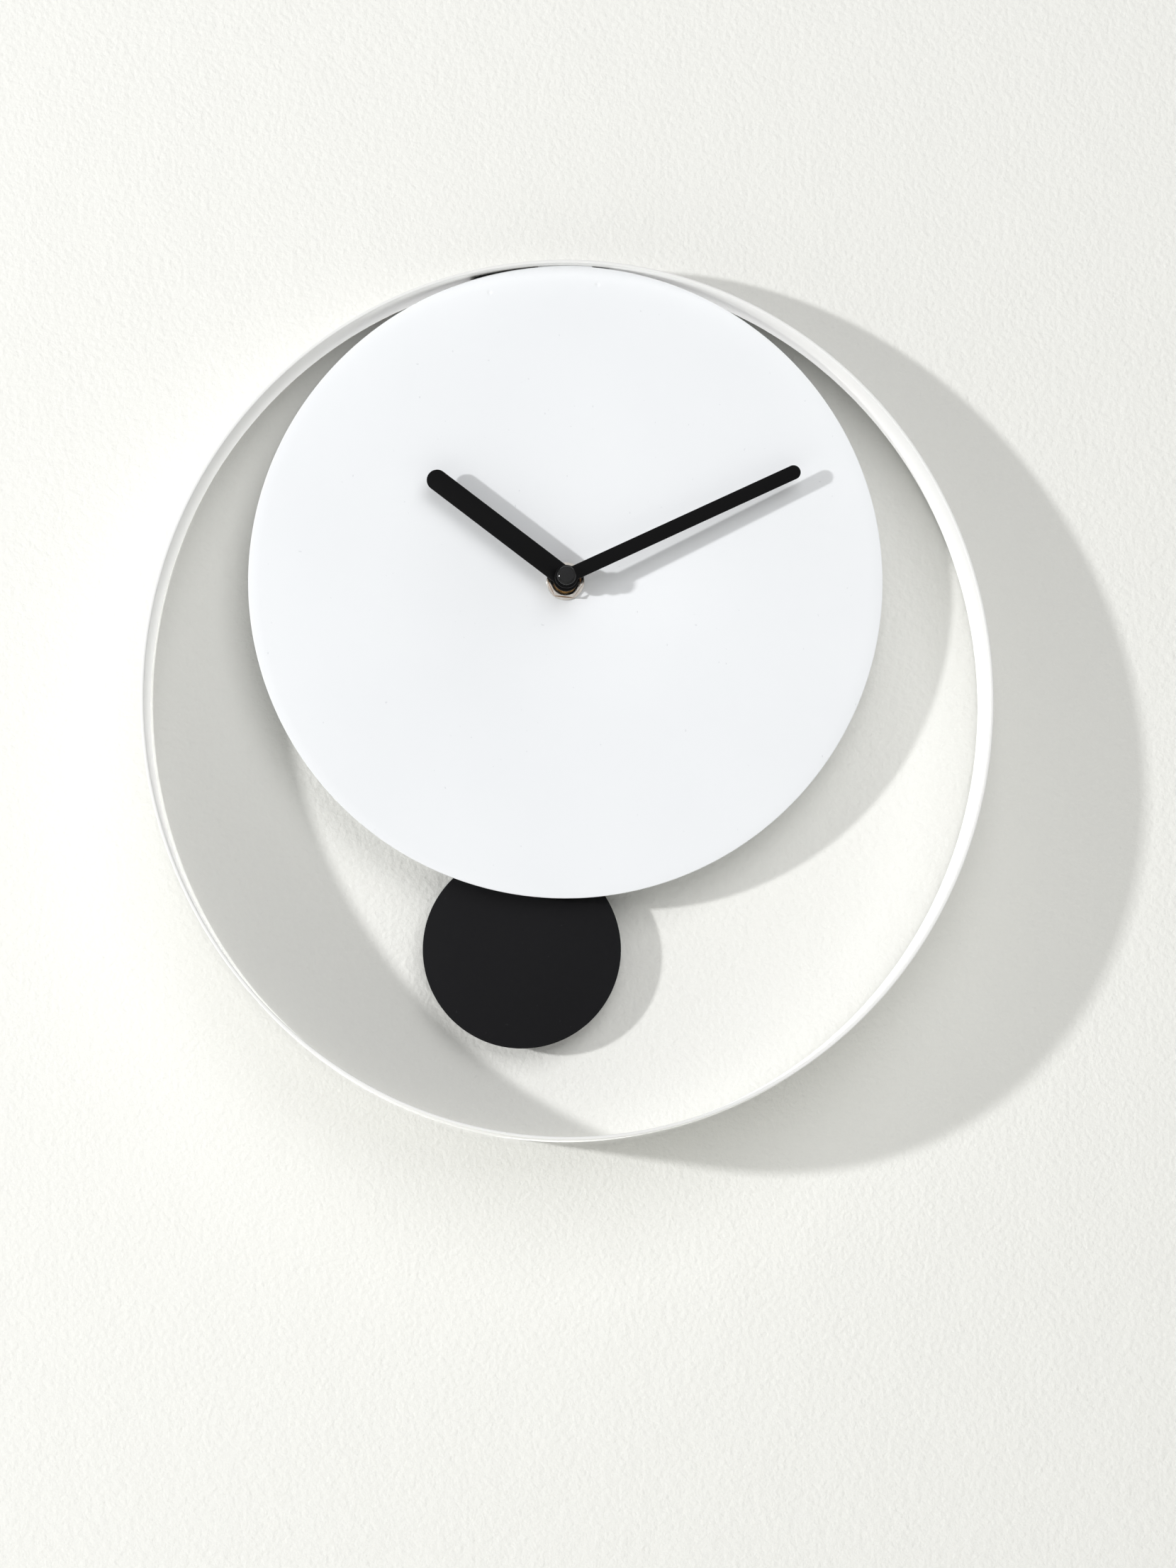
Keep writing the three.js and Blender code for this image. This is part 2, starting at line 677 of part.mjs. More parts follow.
function minuteHandGeometry() {
  return handGeometry({
    length: MINUTE_LENGTH,
    width: MINUTE_WIDTH,
    hub: MINUTE_HUB_RADIUS,
    bore: ARBOR_RADIUS + RUNNING_GAP,
    z: minuteHandZ,
    collarZ: minuteCollarZ,
    collar: MINUTE_COLLAR_RADIUS,
    fall: MINUTE_FALL,
  });
}

// A turned cap with a rounded edge, bored blind from behind.
function capGeometry() {
  const bore = ARBOR_RADIUS + RUNNING_GAP;
  const front = capZ + CAP_HEIGHT;
  const edge = [0.25, 0.5, 0.75, 1].map((share) => {
    const turn = (share * Math.PI) / 2;
    return [
      CAP_RADIUS - CAP_EDGE * (1 - Math.cos(turn)),
      front - CAP_EDGE * (1 - Math.sin(turn)),
    ];
  });
  return turned([
    [0, capZ + CAP_BORE_DEPTH],
    [bore, capZ + CAP_BORE_DEPTH],
    [bore, capZ],
    [CAP_RADIUS, capZ],
    [CAP_RADIUS, front - CAP_EDGE],
    ...edge,
    [0, front],
  ]);
}

// ---------------------------------------------------------------- movement

function caseGeometry() {
  const body = plate(
    roundedRectangle(-caseHalf, caseHalf, caseBottom, caseTop, CASE_CORNER),
    caseRimZ,
    caseFrontZ,
  );
  const room = (bottom, top) => block(-caseInnerHalf, caseInnerHalf, bottom, top, 0, caseInnerZ);
  const floor = caseBottom + CASE_WALL;
  const mouth = block(
    -SWING_MOUTH / 2,
    SWING_MOUTH / 2,
    caseBottom - CASE_WALL,
    floor + CASE_WALL,
    0,
    caseInnerZ,
  );
  const bushHole = bar(BUSH_RADIUS + RUNNING_GAP, caseInnerZ - CASE_FRONT, caseFrontZ + CASE_FRONT);
  const shell = cut(
    body,
    room(trainBottom, trainTop),
    room(bayBottom, bayTop),
    room(floor, swingTop),
    mouth,
    bushHole,
  );
  const bossRadius = PIN_RADIUS + RUNNING_GAP + PIN_BOSS_WALL;
  const bossBackZ = LEVER_Z + LEVER_SHEET + REST_GAP;
  const boss = bar(bossRadius, bossBackZ, caseInnerZ + CASE_FRONT / 2, 0, pivotY, SMALL_FACETS);
  const bossHole = bar(PIN_RADIUS + RUNNING_GAP, 0, caseInnerZ, 0, pivotY, SMALL_FACETS);
  return cut(join(shell, boss), bossHole);
}

// A cover plate on the case's rim; the battery bay has none, so that the cell drops in from behind.
function coverGeometry(bottom, top, hole) {
  const outline = roundedRectangle(-caseHalf, caseHalf, bottom, top, COVER_CORNER);
  outline.holes.push(hole);
  return plate(outline, CASE_BACK_Z, CASE_BACK_Z + COVER_SHEET);
}

function backCoverGeometry() {
  const bottom = (trainBottom + swingTop) / 2 + REST_GAP / 2;
  return coverGeometry(bottom, trainTop + PARTITION / 2, circle(KNOB_RADIUS + REST_GAP));
}

function pendulumCoverGeometry() {
  const top = (trainBottom + swingTop) / 2 - REST_GAP / 2;
  return coverGeometry(caseBottom, top, circle(PIN_RADIUS + RUNNING_GAP, 0, pivotY));
}

// The plate between the motion work and the train, with a post for the minute wheel.
function midPlateGeometry() {
  const half = caseInnerHalf - REST_GAP;
  const outline = roundedRectangle(
    -half,
    half,
    trainBottom + REST_GAP,
    trainTop - REST_GAP,
    COVER_CORNER,
  );
  outline.holes.push(circle(ARBOR_RADIUS + RUNNING_GAP));
  outline.holes.push(circle(PIVOT_RADIUS + RUNNING_GAP, intermediateAt.x, intermediateAt.y));
  const sheet = plate(outline, plateZ, plateZ + PLATE_SHEET);
  const { x, y } = minuteWheelAt;
  const post = bar(POST_RADIUS, plateZ + PLATE_SHEET / 2, minuteWheelFrontZ, x, y, SMALL_FACETS);
  return join(sheet, post);
}

// The hand shaft: it carries the cannon pinion and centre wheel, and the hand and cap at its front.
function arborGeometry() {
  const back = KNOB_Z + KNOB_FACE;
  return turned(
    [
      [0, back],
      [ARBOR_RADIUS, back],
      [ARBOR_RADIUS, arborFrontZ - ARBOR_CHAMFER],
      [ARBOR_RADIUS - ARBOR_CHAMFER, arborFrontZ],
      [0, arborFrontZ],
    ],
    SMALL_FACETS,
  );
}

// A wheel or pinion fixed on the hand shaft.
function shaftWheel(teeth, module, toothAt, fromZ, height) {
  const shape = gearShape(teeth, module, toothAt);
  shape.holes.push(circle(ARBOR_RADIUS + RUNNING_GAP));
  return plate(shape, fromZ, fromZ + height);
}

function cannonPinionGeometry() {
  const bearing = MINUTE_WHEEL_BEARING;
  return shaftWheel(CANNON_TEETH, MOTION_MODULE, bearing, minuteWheelZ, PINION_HEIGHT);
}

function centerWheelGeometry() {
  const bearing = INTERMEDIATE_BEARING;
  return shaftWheel(CENTER_TEETH, TRAIN_MODULE, bearing, centerWheelZ, WHEEL_SHEET);
}

function hourWheelGeometry() {
  const gear = gearShape(HOUR_WHEEL_TEETH, hourModule, MINUTE_WHEEL_BEARING);
  const front = hourHandZ + HAND_SHEET;
  const disc = plate(gear, hourWheelZ, hourWheelZ + HOUR_WHEEL_SHEET);
  const pipe = bar(pipeRadius, hourWheelZ + HOUR_WHEEL_SHEET / 2, front);
  const bore = bar(pipeBore, hourWheelZ - HOUR_WHEEL_SHEET, front + HAND_SHEET);
  return cut(join(disc, pipe), bore);
}

function minuteWheelGeometry() {
  const wheelTooth = gapFacing(MINUTE_WHEEL_BEARING, MINUTE_WHEEL_TEETH);
  const pinionTooth = gapFacing(MINUTE_WHEEL_BEARING, MINUTE_PINION_TEETH);
  const back = minuteWheelZ;
  const gear = plate(
    gearShape(MINUTE_WHEEL_TEETH, MOTION_MODULE, wheelTooth),
    back,
    back + MINUTE_WHEEL_SHEET,
  );
  const pinion = plate(
    gearShape(MINUTE_PINION_TEETH, hourModule, pinionTooth),
    back + MINUTE_WHEEL_SHEET / 2,
    minuteWheelFrontZ,
  );
  const bore = bar(
    POST_RADIUS + RUNNING_GAP,
    back - WHEEL_SPACE,
    minuteWheelFrontZ + WHEEL_SPACE,
    0,
    0,
    SMALL_FACETS,
  );
  return cut(join(gear, pinion), bore).translate(minuteWheelAt.x, minuteWheelAt.y, 0);
}

function intermediateWheelGeometry() {
  const pinionTooth = gapFacing(INTERMEDIATE_BEARING, TRAIN_PINION_TEETH);
  const pinion = plate(
    gearShape(TRAIN_PINION_TEETH, TRAIN_MODULE, pinionTooth),
    intermediateZ + WHEEL_SHEET / 2,
    centerWheelZ + WHEEL_SHEET + REST_GAP,
  );
  const gear = plate(
    gearShape(INTERMEDIATE_TEETH, ROTOR_MODULE, ROTOR_BEARING),
    intermediateZ,
    intermediateZ + WHEEL_SHEET,
  );
  const arbor = bar(PIVOT_RADIUS, caseRimZ, plateZ + PLATE_SHEET, 0, 0, SMALL_FACETS);
  return join(pinion, gear, arbor).translate(intermediateAt.x, intermediateAt.y, 0);
}

function rotorGeometry() {
  const pinion = plate(
    gearShape(ROTOR_PINION_TEETH, ROTOR_MODULE, gapFacing(ROTOR_BEARING, ROTOR_PINION_TEETH)),
    magnetZ + MAGNET_HEIGHT / 2,
    intermediateZ + WHEEL_SHEET + REST_GAP,
  );
  const magnet = bar(MAGNET_RADIUS, magnetZ, magnetZ + MAGNET_HEIGHT);
  const arbor = bar(PIVOT_RADIUS, caseRimZ, plateZ - REST_GAP, 0, 0, SMALL_FACETS);
  return join(pinion, magnet, arbor).translate(rotorAt.x, rotorAt.y, 0);
}

// The motor: its coil lies on a steel core, and the stator's two legs reach up to the rotor.
function statorGeometry() {
  const { x, y } = rotorAt;
  const left = coilX - coreHalf;
  const right = coilX + coreHalf;
  const front = statorZ + STATOR_SHEET;
  const legBottom = coilY - CORE_WIDTH / 2;
  const yoke = block(left, right, y - STATOR_HALF, y + STATOR_HALF, statorZ, front);
  const legLeft = block(left, left + STATOR_LEG, legBottom, y, statorZ, front);
  const legRight = block(right - STATOR_LEG, right, legBottom, y, statorZ, front);
  const room = (radius, at) => bar(radius, magnetZ, coreZ, at.x, at.y);
  return cut(
    join(yoke, legLeft, legRight),
    room(MAGNET_RADIUS + MAGNET_AIR, rotorAt),
    room(PIVOT_RADIUS + MAGNET_AIR, intermediateAt),
  );
}

function coreGeometry() {
  return block(
    coilX - coreHalf,
    coilX + coreHalf,
    coilY - CORE_WIDTH / 2,
    coilY + CORE_WIDTH / 2,
    coreZ,
    coreZ + CORE_SHEET,
  );
}

// The winding between the two flanges of its bobbin.
function coilGeometry() {
  const half = COIL_LENGTH / 2;
  const inner = half - COIL_FLANGE;
  const bore = Math.hypot(CORE_WIDTH, CORE_SHEET) / 2 + REST_GAP;
  const waist = COIL_RADIUS - COIL_WAIST;
  const profile = [
    [bore, -half],
    [COIL_RADIUS, -half],
    [COIL_RADIUS, -inner],
    [waist, -inner],
    [waist, inner],
    [COIL_RADIUS, inner],
    [COIL_RADIUS, half],
    [bore, half],
    [bore, -half],
  ];
  return turned(profile)
    .rotateY(Math.PI / 2)
    .translate(coilX, coilY, coreZ + CORE_SHEET / 2);
}

function boardGeometry() {
  return block(
    boardLeft,
    boardRight,
    trainBottom + BOARD_MARGIN,
    trainTop - BOARD_MARGIN,
    boardZ,
    boardZ + BOARD_SHEET,
  );
}

// The chip is sealed under a round drop of resin.
function chipGeometry() {
  const z = boardZ + BOARD_SHEET + REST_GAP;
  return turned([
    [0, z],
    [CHIP_RADIUS, z],
    [0.8 * CHIP_RADIUS, z + 0.6 * CHIP_HEIGHT],
    [0.4 * CHIP_RADIUS, z + 0.9 * CHIP_HEIGHT],
    [0, z + CHIP_HEIGHT],
  ]).translate((boardLeft + boardRight) / 2, -2 * CHIP_RADIUS, 0);
}

function crystalGeometry() {
  return bar(CRYSTAL_RADIUS, 0, CRYSTAL_LENGTH, 0, 0, SMALL_FACETS)
    .rotateX(-Math.PI / 2)
    .translate((boardLeft + boardRight) / 2, 0, boardZ + BOARD_SHEET + REST_GAP + CRYSTAL_RADIUS);
}

function knobGeometry() {
  const step = Math.PI / KNOB_RIDGES;
  const points = [];
  for (let i = 0; i < KNOB_RIDGES; i++) {
    points.push(polar(KNOB_RADIUS, 2 * i * step), polar(KNOB_RADIUS - KNOB_RIDGE, (2 * i + 1) * step));
  }
  const front = KNOB_Z + KNOB_HEIGHT;
  const body = plate(new THREE.Shape(points), KNOB_Z, front);
  const bore = bar(
    ARBOR_RADIUS + RUNNING_GAP,
    KNOB_Z + KNOB_FACE - REST_GAP,
    front + KNOB_FACE,
    0,
    0,
    SMALL_FACETS,
  );
  return cut(body, bore);
}

function batteryGeometry() {
  const half = BATTERY_LENGTH / 2;
  return turned([
    [0, -half],
    [BATTERY_RADIUS - BATTERY_EDGE, -half],
    [BATTERY_RADIUS, BATTERY_EDGE - half],
    [BATTERY_RADIUS, half - BATTERY_EDGE],
    [BATTERY_RADIUS - BATTERY_EDGE, half],
    [BATTERY_NUB_RADIUS, half],
    [BATTERY_NUB_RADIUS, half + BATTERY_NUB],
    [0, half + BATTERY_NUB],
  ])
    .rotateY(Math.PI / 2)
    .translate(0, batteryY, batteryZ);
}

// A springy strip against the case's end wall, with a tip that reaches in to one end of the cell.
function contactGeometry(side, reach) {
  const strip = block(
    contactHalf - CONTACT_SHEET,
    contactHalf,
    batteryY - CONTACT_HALF_WIDTH,
    batteryY + CONTACT_HALF_WIDTH,
    batteryZ - CONTACT_HALF_DEPTH,
    batteryZ + CONTACT_HALF_DEPTH,
  );
  const root = contactHalf - CONTACT_SHEET / 2;
  const tip = new THREE.CylinderGeometry(
    CONTACT_TIP_RADIUS,
    CONTACT_ROOT_RADIUS,
    root - reach,
    SMALL_FACETS,
  )
    .rotateZ(Math.PI / 2)
    .translate((root + reach) / 2, batteryY, batteryZ);
  const whole = join(strip, tip);
  return side > 0 ? whole : whole.rotateY(Math.PI).translate(0, 0, 2 * batteryZ);
}

// ---------------------------------------------------------------- pendulum, hanging straight from its pivot

const coilDriveZ = caseInnerZ - REST_GAP - DRIVE_COIL_HEIGHT;
const swingMagnetZ = LEVER_Z + LEVER_SHEET + REST_GAP;
const bobBackZ = BOB_FRONT_Z - BOB_SHEET;
const rodZ = bobBackZ - REST_GAP - CLIP_WALL - RUNNING_GAP - ROD_RADIUS;
const rodTop = ROD_HOOK - leverLength;

function leverGeometry() {
  const hub = bar(LEVER_HUB_RADIUS, LEVER_Z, LEVER_Z + LEVER_SHEET, 0, 0, SMALL_FACETS);
  const arm = block(
    -LEVER_WIDTH / 2,
    LEVER_WIDTH / 2,
    -leverLength,
    0,
    LEVER_Z,
    LEVER_Z + LEVER_SHEET,
  );
  const padRadius = SWING_MAGNET_RADIUS + MAGNET_PAD;
  const pad = bar(padRadius, LEVER_Z, LEVER_Z + LEVER_SHEET, 0, -SWING_MAGNET_REACH);
  const socket = block(
    -LEVER_WIDTH / 2,
    LEVER_WIDTH / 2,
    -leverLength,
    -leverLength + ROD_HOOK + SOCKET_WALL,
    LEVER_Z,
    rodZ + ROD_RADIUS + SOCKET_WALL,
  );
  const bore = bar(
    PIN_RADIUS + RUNNING_GAP,
    LEVER_Z - CUT_MARGIN,
    LEVER_Z + LEVER_SHEET + CUT_MARGIN,
    0,
    0,
    SMALL_FACETS,
  );
  const rodHole = new THREE.CylinderGeometry(
    ROD_RADIUS + RUNNING_GAP,
    ROD_RADIUS + RUNNING_GAP,
    2 * (ROD_HOOK + REST_GAP),
    SMALL_FACETS,
  ).translate(0, -leverLength, rodZ);
  return cut(join(hub, arm, pad, socket), bore, rodHole);
}

function rodGeometry() {
  const bottom = -PENDULUM_LENGTH + REST_GAP;
  return new THREE.CylinderGeometry(ROD_RADIUS, ROD_RADIUS, rodTop - bottom, SMALL_FACETS).translate(
    0,
    (rodTop + bottom) / 2,
    rodZ,
  );
}

function bobGeometry() {
  const bob = circle(BOB_RADIUS, 0, -PENDULUM_LENGTH);
  return plate(bob, bobBackZ, BOB_FRONT_Z, BOB_FACETS);
}

// The sleeve on the back of the bob that the rod pushes into.
function clipGeometry() {
  const front = bobBackZ - REST_GAP;
  const back = rodZ - ROD_RADIUS - RUNNING_GAP - CLIP_WALL;
  const half = CLIP_WIDTH / 2;
  const bottom = -PENDULUM_LENGTH - CLIP_WALL;
  const body = block(-half, half, bottom, bottom + CLIP_HEIGHT, back, front);
  const hole = new THREE.CylinderGeometry(
    ROD_RADIUS + RUNNING_GAP,
    ROD_RADIUS + RUNNING_GAP,
    CLIP_HEIGHT,
    SMALL_FACETS,
  ).translate(0, bottom + CLIP_WALL + CLIP_HEIGHT / 2, rodZ);
  return cut(body, hole);
}

// ---------------------------------------------------------------- assembly

function buildFrame(clock) {
  add(clock, "ring_hoop", hoopGeometry(), hoopWhite);
  add(clock, "dial_disc", dialGeometry(), dialWhite);
  add(clock, "hanger_bracket", bracketGeometry(), matteBlack);
  const sides = { left: -1, right: 1 };
  for (const [word, side] of Object.entries(sides)) {
    add(clock, `hoop_rivet_${word}`, rivetGeometry((side * RIVET_SPACING) / 2), hoopWhite);
    add(clock, `weld_stud_${word}`, studGeometry(side), steel);
    add(clock, `stud_nut_${word}`, studNutGeometry(side), steel);
  }
}

function buildShaftStack(shaft) {
  add(
    shaft,
    "dial_gasket",
    tube(GASKET_RADIUS, BUSH_RADIUS + RUNNING_GAP, gasketZ, gasketZ + GASKET_THICKNESS),
    rubberBlack,
  );
  add(
    shaft,
    "dial_washer",
    tube(WASHER_RADIUS, BUSH_RADIUS + RUNNING_GAP, washerZ, washerZ + WASHER_THICKNESS),
    nickel,
  );
  add(shaft, "hex_nut", nutGeometry(), nickel);
  add(shaft, "threaded_bush", bushGeometry(), brass);
  add(shaft, "hour_hand", hourHandGeometry(), handBlack).rotation.z = HOUR_ANGLE;
  add(shaft, "minute_hand", minuteHandGeometry(), handBlack).rotation.z = MINUTE_ANGLE;
  add(shaft, "hand_cap", capGeometry(), glossBlack);
}

function buildMovement(shaft) {
  add(shaft, "movement_case", caseGeometry(), caseBlack);
  add(shaft, "back_cover", backCoverGeometry(), caseBlack);
  add(shaft, "pendulum_cover", pendulumCoverGeometry(), caseBlack);
  add(shaft, "mid_plate", midPlateGeometry(), gearWhite);
  add(shaft, "minute_arbor", arborGeometry(), steel);
  add(shaft, "cannon_pinion", cannonPinionGeometry(), brass);
  add(shaft, "center_wheel", centerWheelGeometry(), gearWhite);
  add(shaft, "hour_wheel", hourWheelGeometry(), gearWhite);
  add(shaft, "minute_wheel", minuteWheelGeometry(), gearWhite);
  add(shaft, "intermediate_wheel", intermediateWheelGeometry(), gearWhite);
  add(shaft, "rotor", rotorGeometry(), magnetGrey);
  add(shaft, "stator", statorGeometry(), steel);
  add(shaft, "coil_core", coreGeometry(), steel);
  add(shaft, "motor_coil", coilGeometry(), copper);
  add(shaft, "circuit_board", boardGeometry(), boardGreen);
  add(shaft, "clock_chip", chipGeometry(), glossBlack);
  add(shaft, "quartz_crystal", crystalGeometry(), nickel);
  add(shaft, "setting_knob", knobGeometry(), caseBlack);
  add(shaft, "battery", batteryGeometry(), batteryJacket);
  const positiveEnd = BATTERY_LENGTH / 2 + BATTERY_NUB + REST_GAP;
  const negativeEnd = BATTERY_LENGTH / 2 + REST_GAP;
  add(shaft, "contact_positive", contactGeometry(1, positiveEnd), nickel);
  add(shaft, "contact_negative", contactGeometry(-1, negativeEnd), nickel);
}

function buildPendulum(shaft) {
  const coil = tube(DRIVE_COIL_RADIUS, DRIVE_COIL_BORE, coilDriveZ, coilDriveZ + DRIVE_COIL_HEIGHT);
  add(shaft, "drive_coil", coil.translate(0, pivotY - SWING_MAGNET_REACH, 0), copper);
  const pin = bar(PIN_RADIUS, CASE_BACK_Z, caseInnerZ - REST_GAP, 0, pivotY, SMALL_FACETS);
  add(shaft, "pendulum_pin", pin, steel);
  const pendulum = new THREE.Group();
  pendulum.position.y = pivotY;
  pendulum.rotation.z = PENDULUM_REST;
  shaft.add(pendulum);
  add(pendulum, "pendulum_lever", leverGeometry(), gearWhite);
  const magnet = bar(SWING_MAGNET_RADIUS, swingMagnetZ, swingMagnetZ + SWING_MAGNET_HEIGHT);
  add(pendulum, "pendulum_magnet", magnet.translate(0, -SWING_MAGNET_REACH, 0), magnetGrey);
  add(pendulum, "pendulum_rod", rodGeometry(), steel);
  add(pendulum, "bob_disc", bobGeometry(), matteBlack);
  add(pendulum, "bob_clip", clipGeometry(), caseBlack);
}

const group = new THREE.Group();
const clock = new THREE.Group();
clock.rotation.x = Math.PI / 2;
clock.position.z = -keyholeY;
group.add(clock);
buildFrame(clock);

const shaft = new THREE.Group();
shaft.position.y = dialY;
clock.add(shaft);
buildShaftStack(shaft);
buildMovement(shaft);
buildPendulum(shaft);

export default group;
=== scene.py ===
"""A pendulum wall clock: a white dial set high inside a thin white hoop whose front edge slants,
two black hands, and a black disc that swings below the dial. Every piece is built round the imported
model."""

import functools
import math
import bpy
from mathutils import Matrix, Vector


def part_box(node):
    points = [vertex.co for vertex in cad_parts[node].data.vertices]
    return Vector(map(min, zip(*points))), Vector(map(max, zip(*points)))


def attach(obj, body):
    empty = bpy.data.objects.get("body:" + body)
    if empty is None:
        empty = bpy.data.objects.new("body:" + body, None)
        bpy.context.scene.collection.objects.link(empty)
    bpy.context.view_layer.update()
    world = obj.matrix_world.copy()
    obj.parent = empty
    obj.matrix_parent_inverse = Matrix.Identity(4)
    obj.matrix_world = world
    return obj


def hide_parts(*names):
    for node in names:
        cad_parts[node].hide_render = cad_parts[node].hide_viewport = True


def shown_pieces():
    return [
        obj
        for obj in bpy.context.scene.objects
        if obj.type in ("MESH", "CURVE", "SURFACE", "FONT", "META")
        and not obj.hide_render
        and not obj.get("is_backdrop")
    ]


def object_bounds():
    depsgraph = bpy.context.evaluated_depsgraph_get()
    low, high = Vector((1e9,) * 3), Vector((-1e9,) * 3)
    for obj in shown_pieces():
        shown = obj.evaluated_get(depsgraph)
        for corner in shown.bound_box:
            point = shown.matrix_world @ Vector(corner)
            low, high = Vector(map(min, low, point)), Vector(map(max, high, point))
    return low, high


bl_info = {
    "name": "Pendulum wall clock",
    "version": (1, 0, 0),
    "blender": (4, 5, 0),
    "location": "View3D > Sidebar > Clock",
    "description": "Builds a wall clock's hoop, dial, hands, movement and pendulum, and a stage",
    "category": "Object",
}

from collections import namedtuple

import bmesh
import bpy
from bpy.props import FloatProperty, FloatVectorProperty, IntProperty, PointerProperty
from mathutils import Matrix, Vector

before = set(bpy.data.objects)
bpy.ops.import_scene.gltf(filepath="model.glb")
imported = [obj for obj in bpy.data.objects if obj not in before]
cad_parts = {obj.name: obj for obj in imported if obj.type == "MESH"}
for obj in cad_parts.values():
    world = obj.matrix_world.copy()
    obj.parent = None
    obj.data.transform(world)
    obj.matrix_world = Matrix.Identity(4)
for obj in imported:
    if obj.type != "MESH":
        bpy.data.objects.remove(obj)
cad_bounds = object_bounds()

# ---------------------------------------------------------------- axes and places

MM = 0.001
# Clock axes: x to the right, y up and z out from the wall, in millimetres from the keyhole's top
TO_ROOM = Matrix(((MM, 0, 0, 0), (0, 0, -MM, 0), (0, MM, 0, 0), (0, 0, 0, 1)))


class Extent(namedtuple("Extent", "left right bottom top back front")):
    """A box in clock axes."""

    half_width = property(lambda box: (box.right - box.left) / 2)
    half_height = property(lambda box: (box.top - box.bottom) / 2)
    half_depth = property(lambda box: (box.front - box.back) / 2)
    middle_x = property(lambda box: (box.left + box.right) / 2)
    middle_y = property(lambda box: (box.bottom + box.top) / 2)
    middle_z = property(lambda box: (box.back + box.front) / 2)


@functools.cache
def extent(node_name):
    """Where a CAD node lies."""
    low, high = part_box(node_name)
    return Extent(low.x / MM, high.x / MM, low.z / MM, high.z / MM, -high.y / MM, -low.y / MM)


def centre(node_name):
    """The middle of a CAD node, seen from the front."""
    box = extent(node_name)
    return Vector((box.middle_x, box.middle_y))


def placed(at, angle=0, axis="Z"):
    """A turn about an axis, and then a move."""
    return Matrix.Translation(at) @ Matrix.Rotation(angle, 4, axis)


SIDES = ("left", "right")
QUARTER = math.pi / 2
HUB = centre("dial_disc")
PIVOT = centre("pendulum_pin")
BOB = centre("bob_disc") - PIVOT
STUDS = {side: centre(f"weld_stud_{side}") for side in SIDES}
SWING_AT_REST = math.atan2(BOB.x, -BOB.y)
TO_HUB = Matrix.Translation((*HUB, 0))
TO_PENDULUM = placed((*PIVOT, 0), SWING_AT_REST)

# ---------------------------------------------------------------- finer detail, in millimetres

MERGE = 1e-5  # nearer than this, two points are one
CREASE = math.radians(35)  # the angle from which an edge is drawn sharp
REST_GAP = 0.3  # between two pieces that touch
RUNNING_GAP = 0.1  # round a shaft or a pin
HOOP_FACETS = 360
DIAL_FACETS = 288
BOB_FACETS = 240
ROUND_FACETS = 96
SMALL_FACETS = 48
BRACKET_STATIONS = 56

BUSH_RADIUS = 3.9
BUSH_BORE = 2.75
BUSH_FLANGE = 0.9
BUSH_THREAD = 0.75  # pitch
BUSH_LEAD = 0.4  # the chamfer at the front of its thread
STUD_RADIUS = 1.5
STUD_THREAD = 0.5  # pitch
RIVET_SHANK = 1.6  # radius
RIVET_HEAD = 1.2  # height
LUG_WIDTH = 22
LUG_SHEET = 1
LUG_GAP = 0.08  # under the hoop
BRACKET_SHEET = 1.2
BRACKET_BEND = 1.6
KEYHOLE_RADIUS = 4.5
KEYHOLE_SLOT = 4.2
KEYHOLE_RISE = 6.5
NUT_FLATS = 13.2
NUT_SINK = 1.2  # width of the countersink
NUT_TURN = math.radians(-6)  # how far the nut came to rest from level
STUD_NUT_FLATS = 5.5
STUD_NUT_SINK = 0.3
HOUR_TUBE_WALL = 0.7
HOUR_COLLAR = 3.7
MINUTE_COLLAR = 2.9
CAP_BORE = 2.2  # depth

CASE_WALL = 1.2
CASE_FRONT = 0.7
CASE_CORNER = 1.5
PARTITION = 0.8
LOWER_PARTITION = 1
SWING_MOUTH = 34  # width of the gap in the case's foot
BOSS_WALL = 1.3
PANEL_MARGIN = 3
PANEL_SINK = 0.3
RIM_WIDTH = 1.6
RIM_DEPTH = 0.6
KNOB_RIDGE = 0.4  # height
KNOB_DISH = ((1.0, 0), (0.4, 0.35))  # how far in, and then how deep, at each step
KNOB_CORE = 0.7  # left behind the bore
SHAFT_RADIUS = 1.6
PIN_RADIUS = 0.8
BATTERY_NUB_RADIUS = 2.7
BATTERY_NUB = 1
BATTERY_CRIMP = 0.85  # width of the ring of film that folds over the can's end
JACKET_RING = 9.5  # along the cell, where the bright ring starts
JACKET_END = 11.5  # and where the dark end starts
JACKET_EDGE = 0.2  # over which one ink gives way to the next
CONTACT_SHEET = 0.4

LEVER_WIDTH = 6
LEVER_SHEET = 2
LEVER_EDGE = 0.25
LEVER_HUB = 3  # radius
LEVER_PAD = 4.2  # radius
SWING_MAGNET_REACH = 24  # from the pivot
ROD_HOOK = 3  # how far the rod goes into the lever's tip
ROD_LEAD = 0.3  # the chamfer at each end
SOCKET_WALL = 1
CLIP_WIDTH = 7
CLIP_HEIGHT = 22
CLIP_WALL = 0.9


def linear(code):
    """An sRGB hex colour as linear red, green and blue."""
    shares = [int(code[at : at + 2], 16) / 255 for at in (1, 3, 5)]
    return [s / 12.92 if s <= 0.04045 else ((s + 0.055) / 1.055) ** 2.4 for s in shares]


# ---------------------------------------------------------------- what a user would change


def length(name, description, millimetres):
    return FloatProperty(
        name=name,
        description=description,
        default=millimetres * MM,
        min=0,
        precision=5,
        subtype="DISTANCE",
        unit="LENGTH",
    )


def colour(name, description, code):
    return FloatVectorProperty(
        name=name,
        description=description,
        default=linear(code),
        min=0,
        max=1,
        size=3,
        subtype="COLOR",
    )


def bearing(name, description, degrees):
    return FloatProperty(
        name=name,
        description=description,
        default=math.radians(degrees),
        subtype="ANGLE",
        unit="ROTATION",
    )


def level(name, description, share):
    return FloatProperty(name=name, description=description, default=share, min=0, soft_max=2)


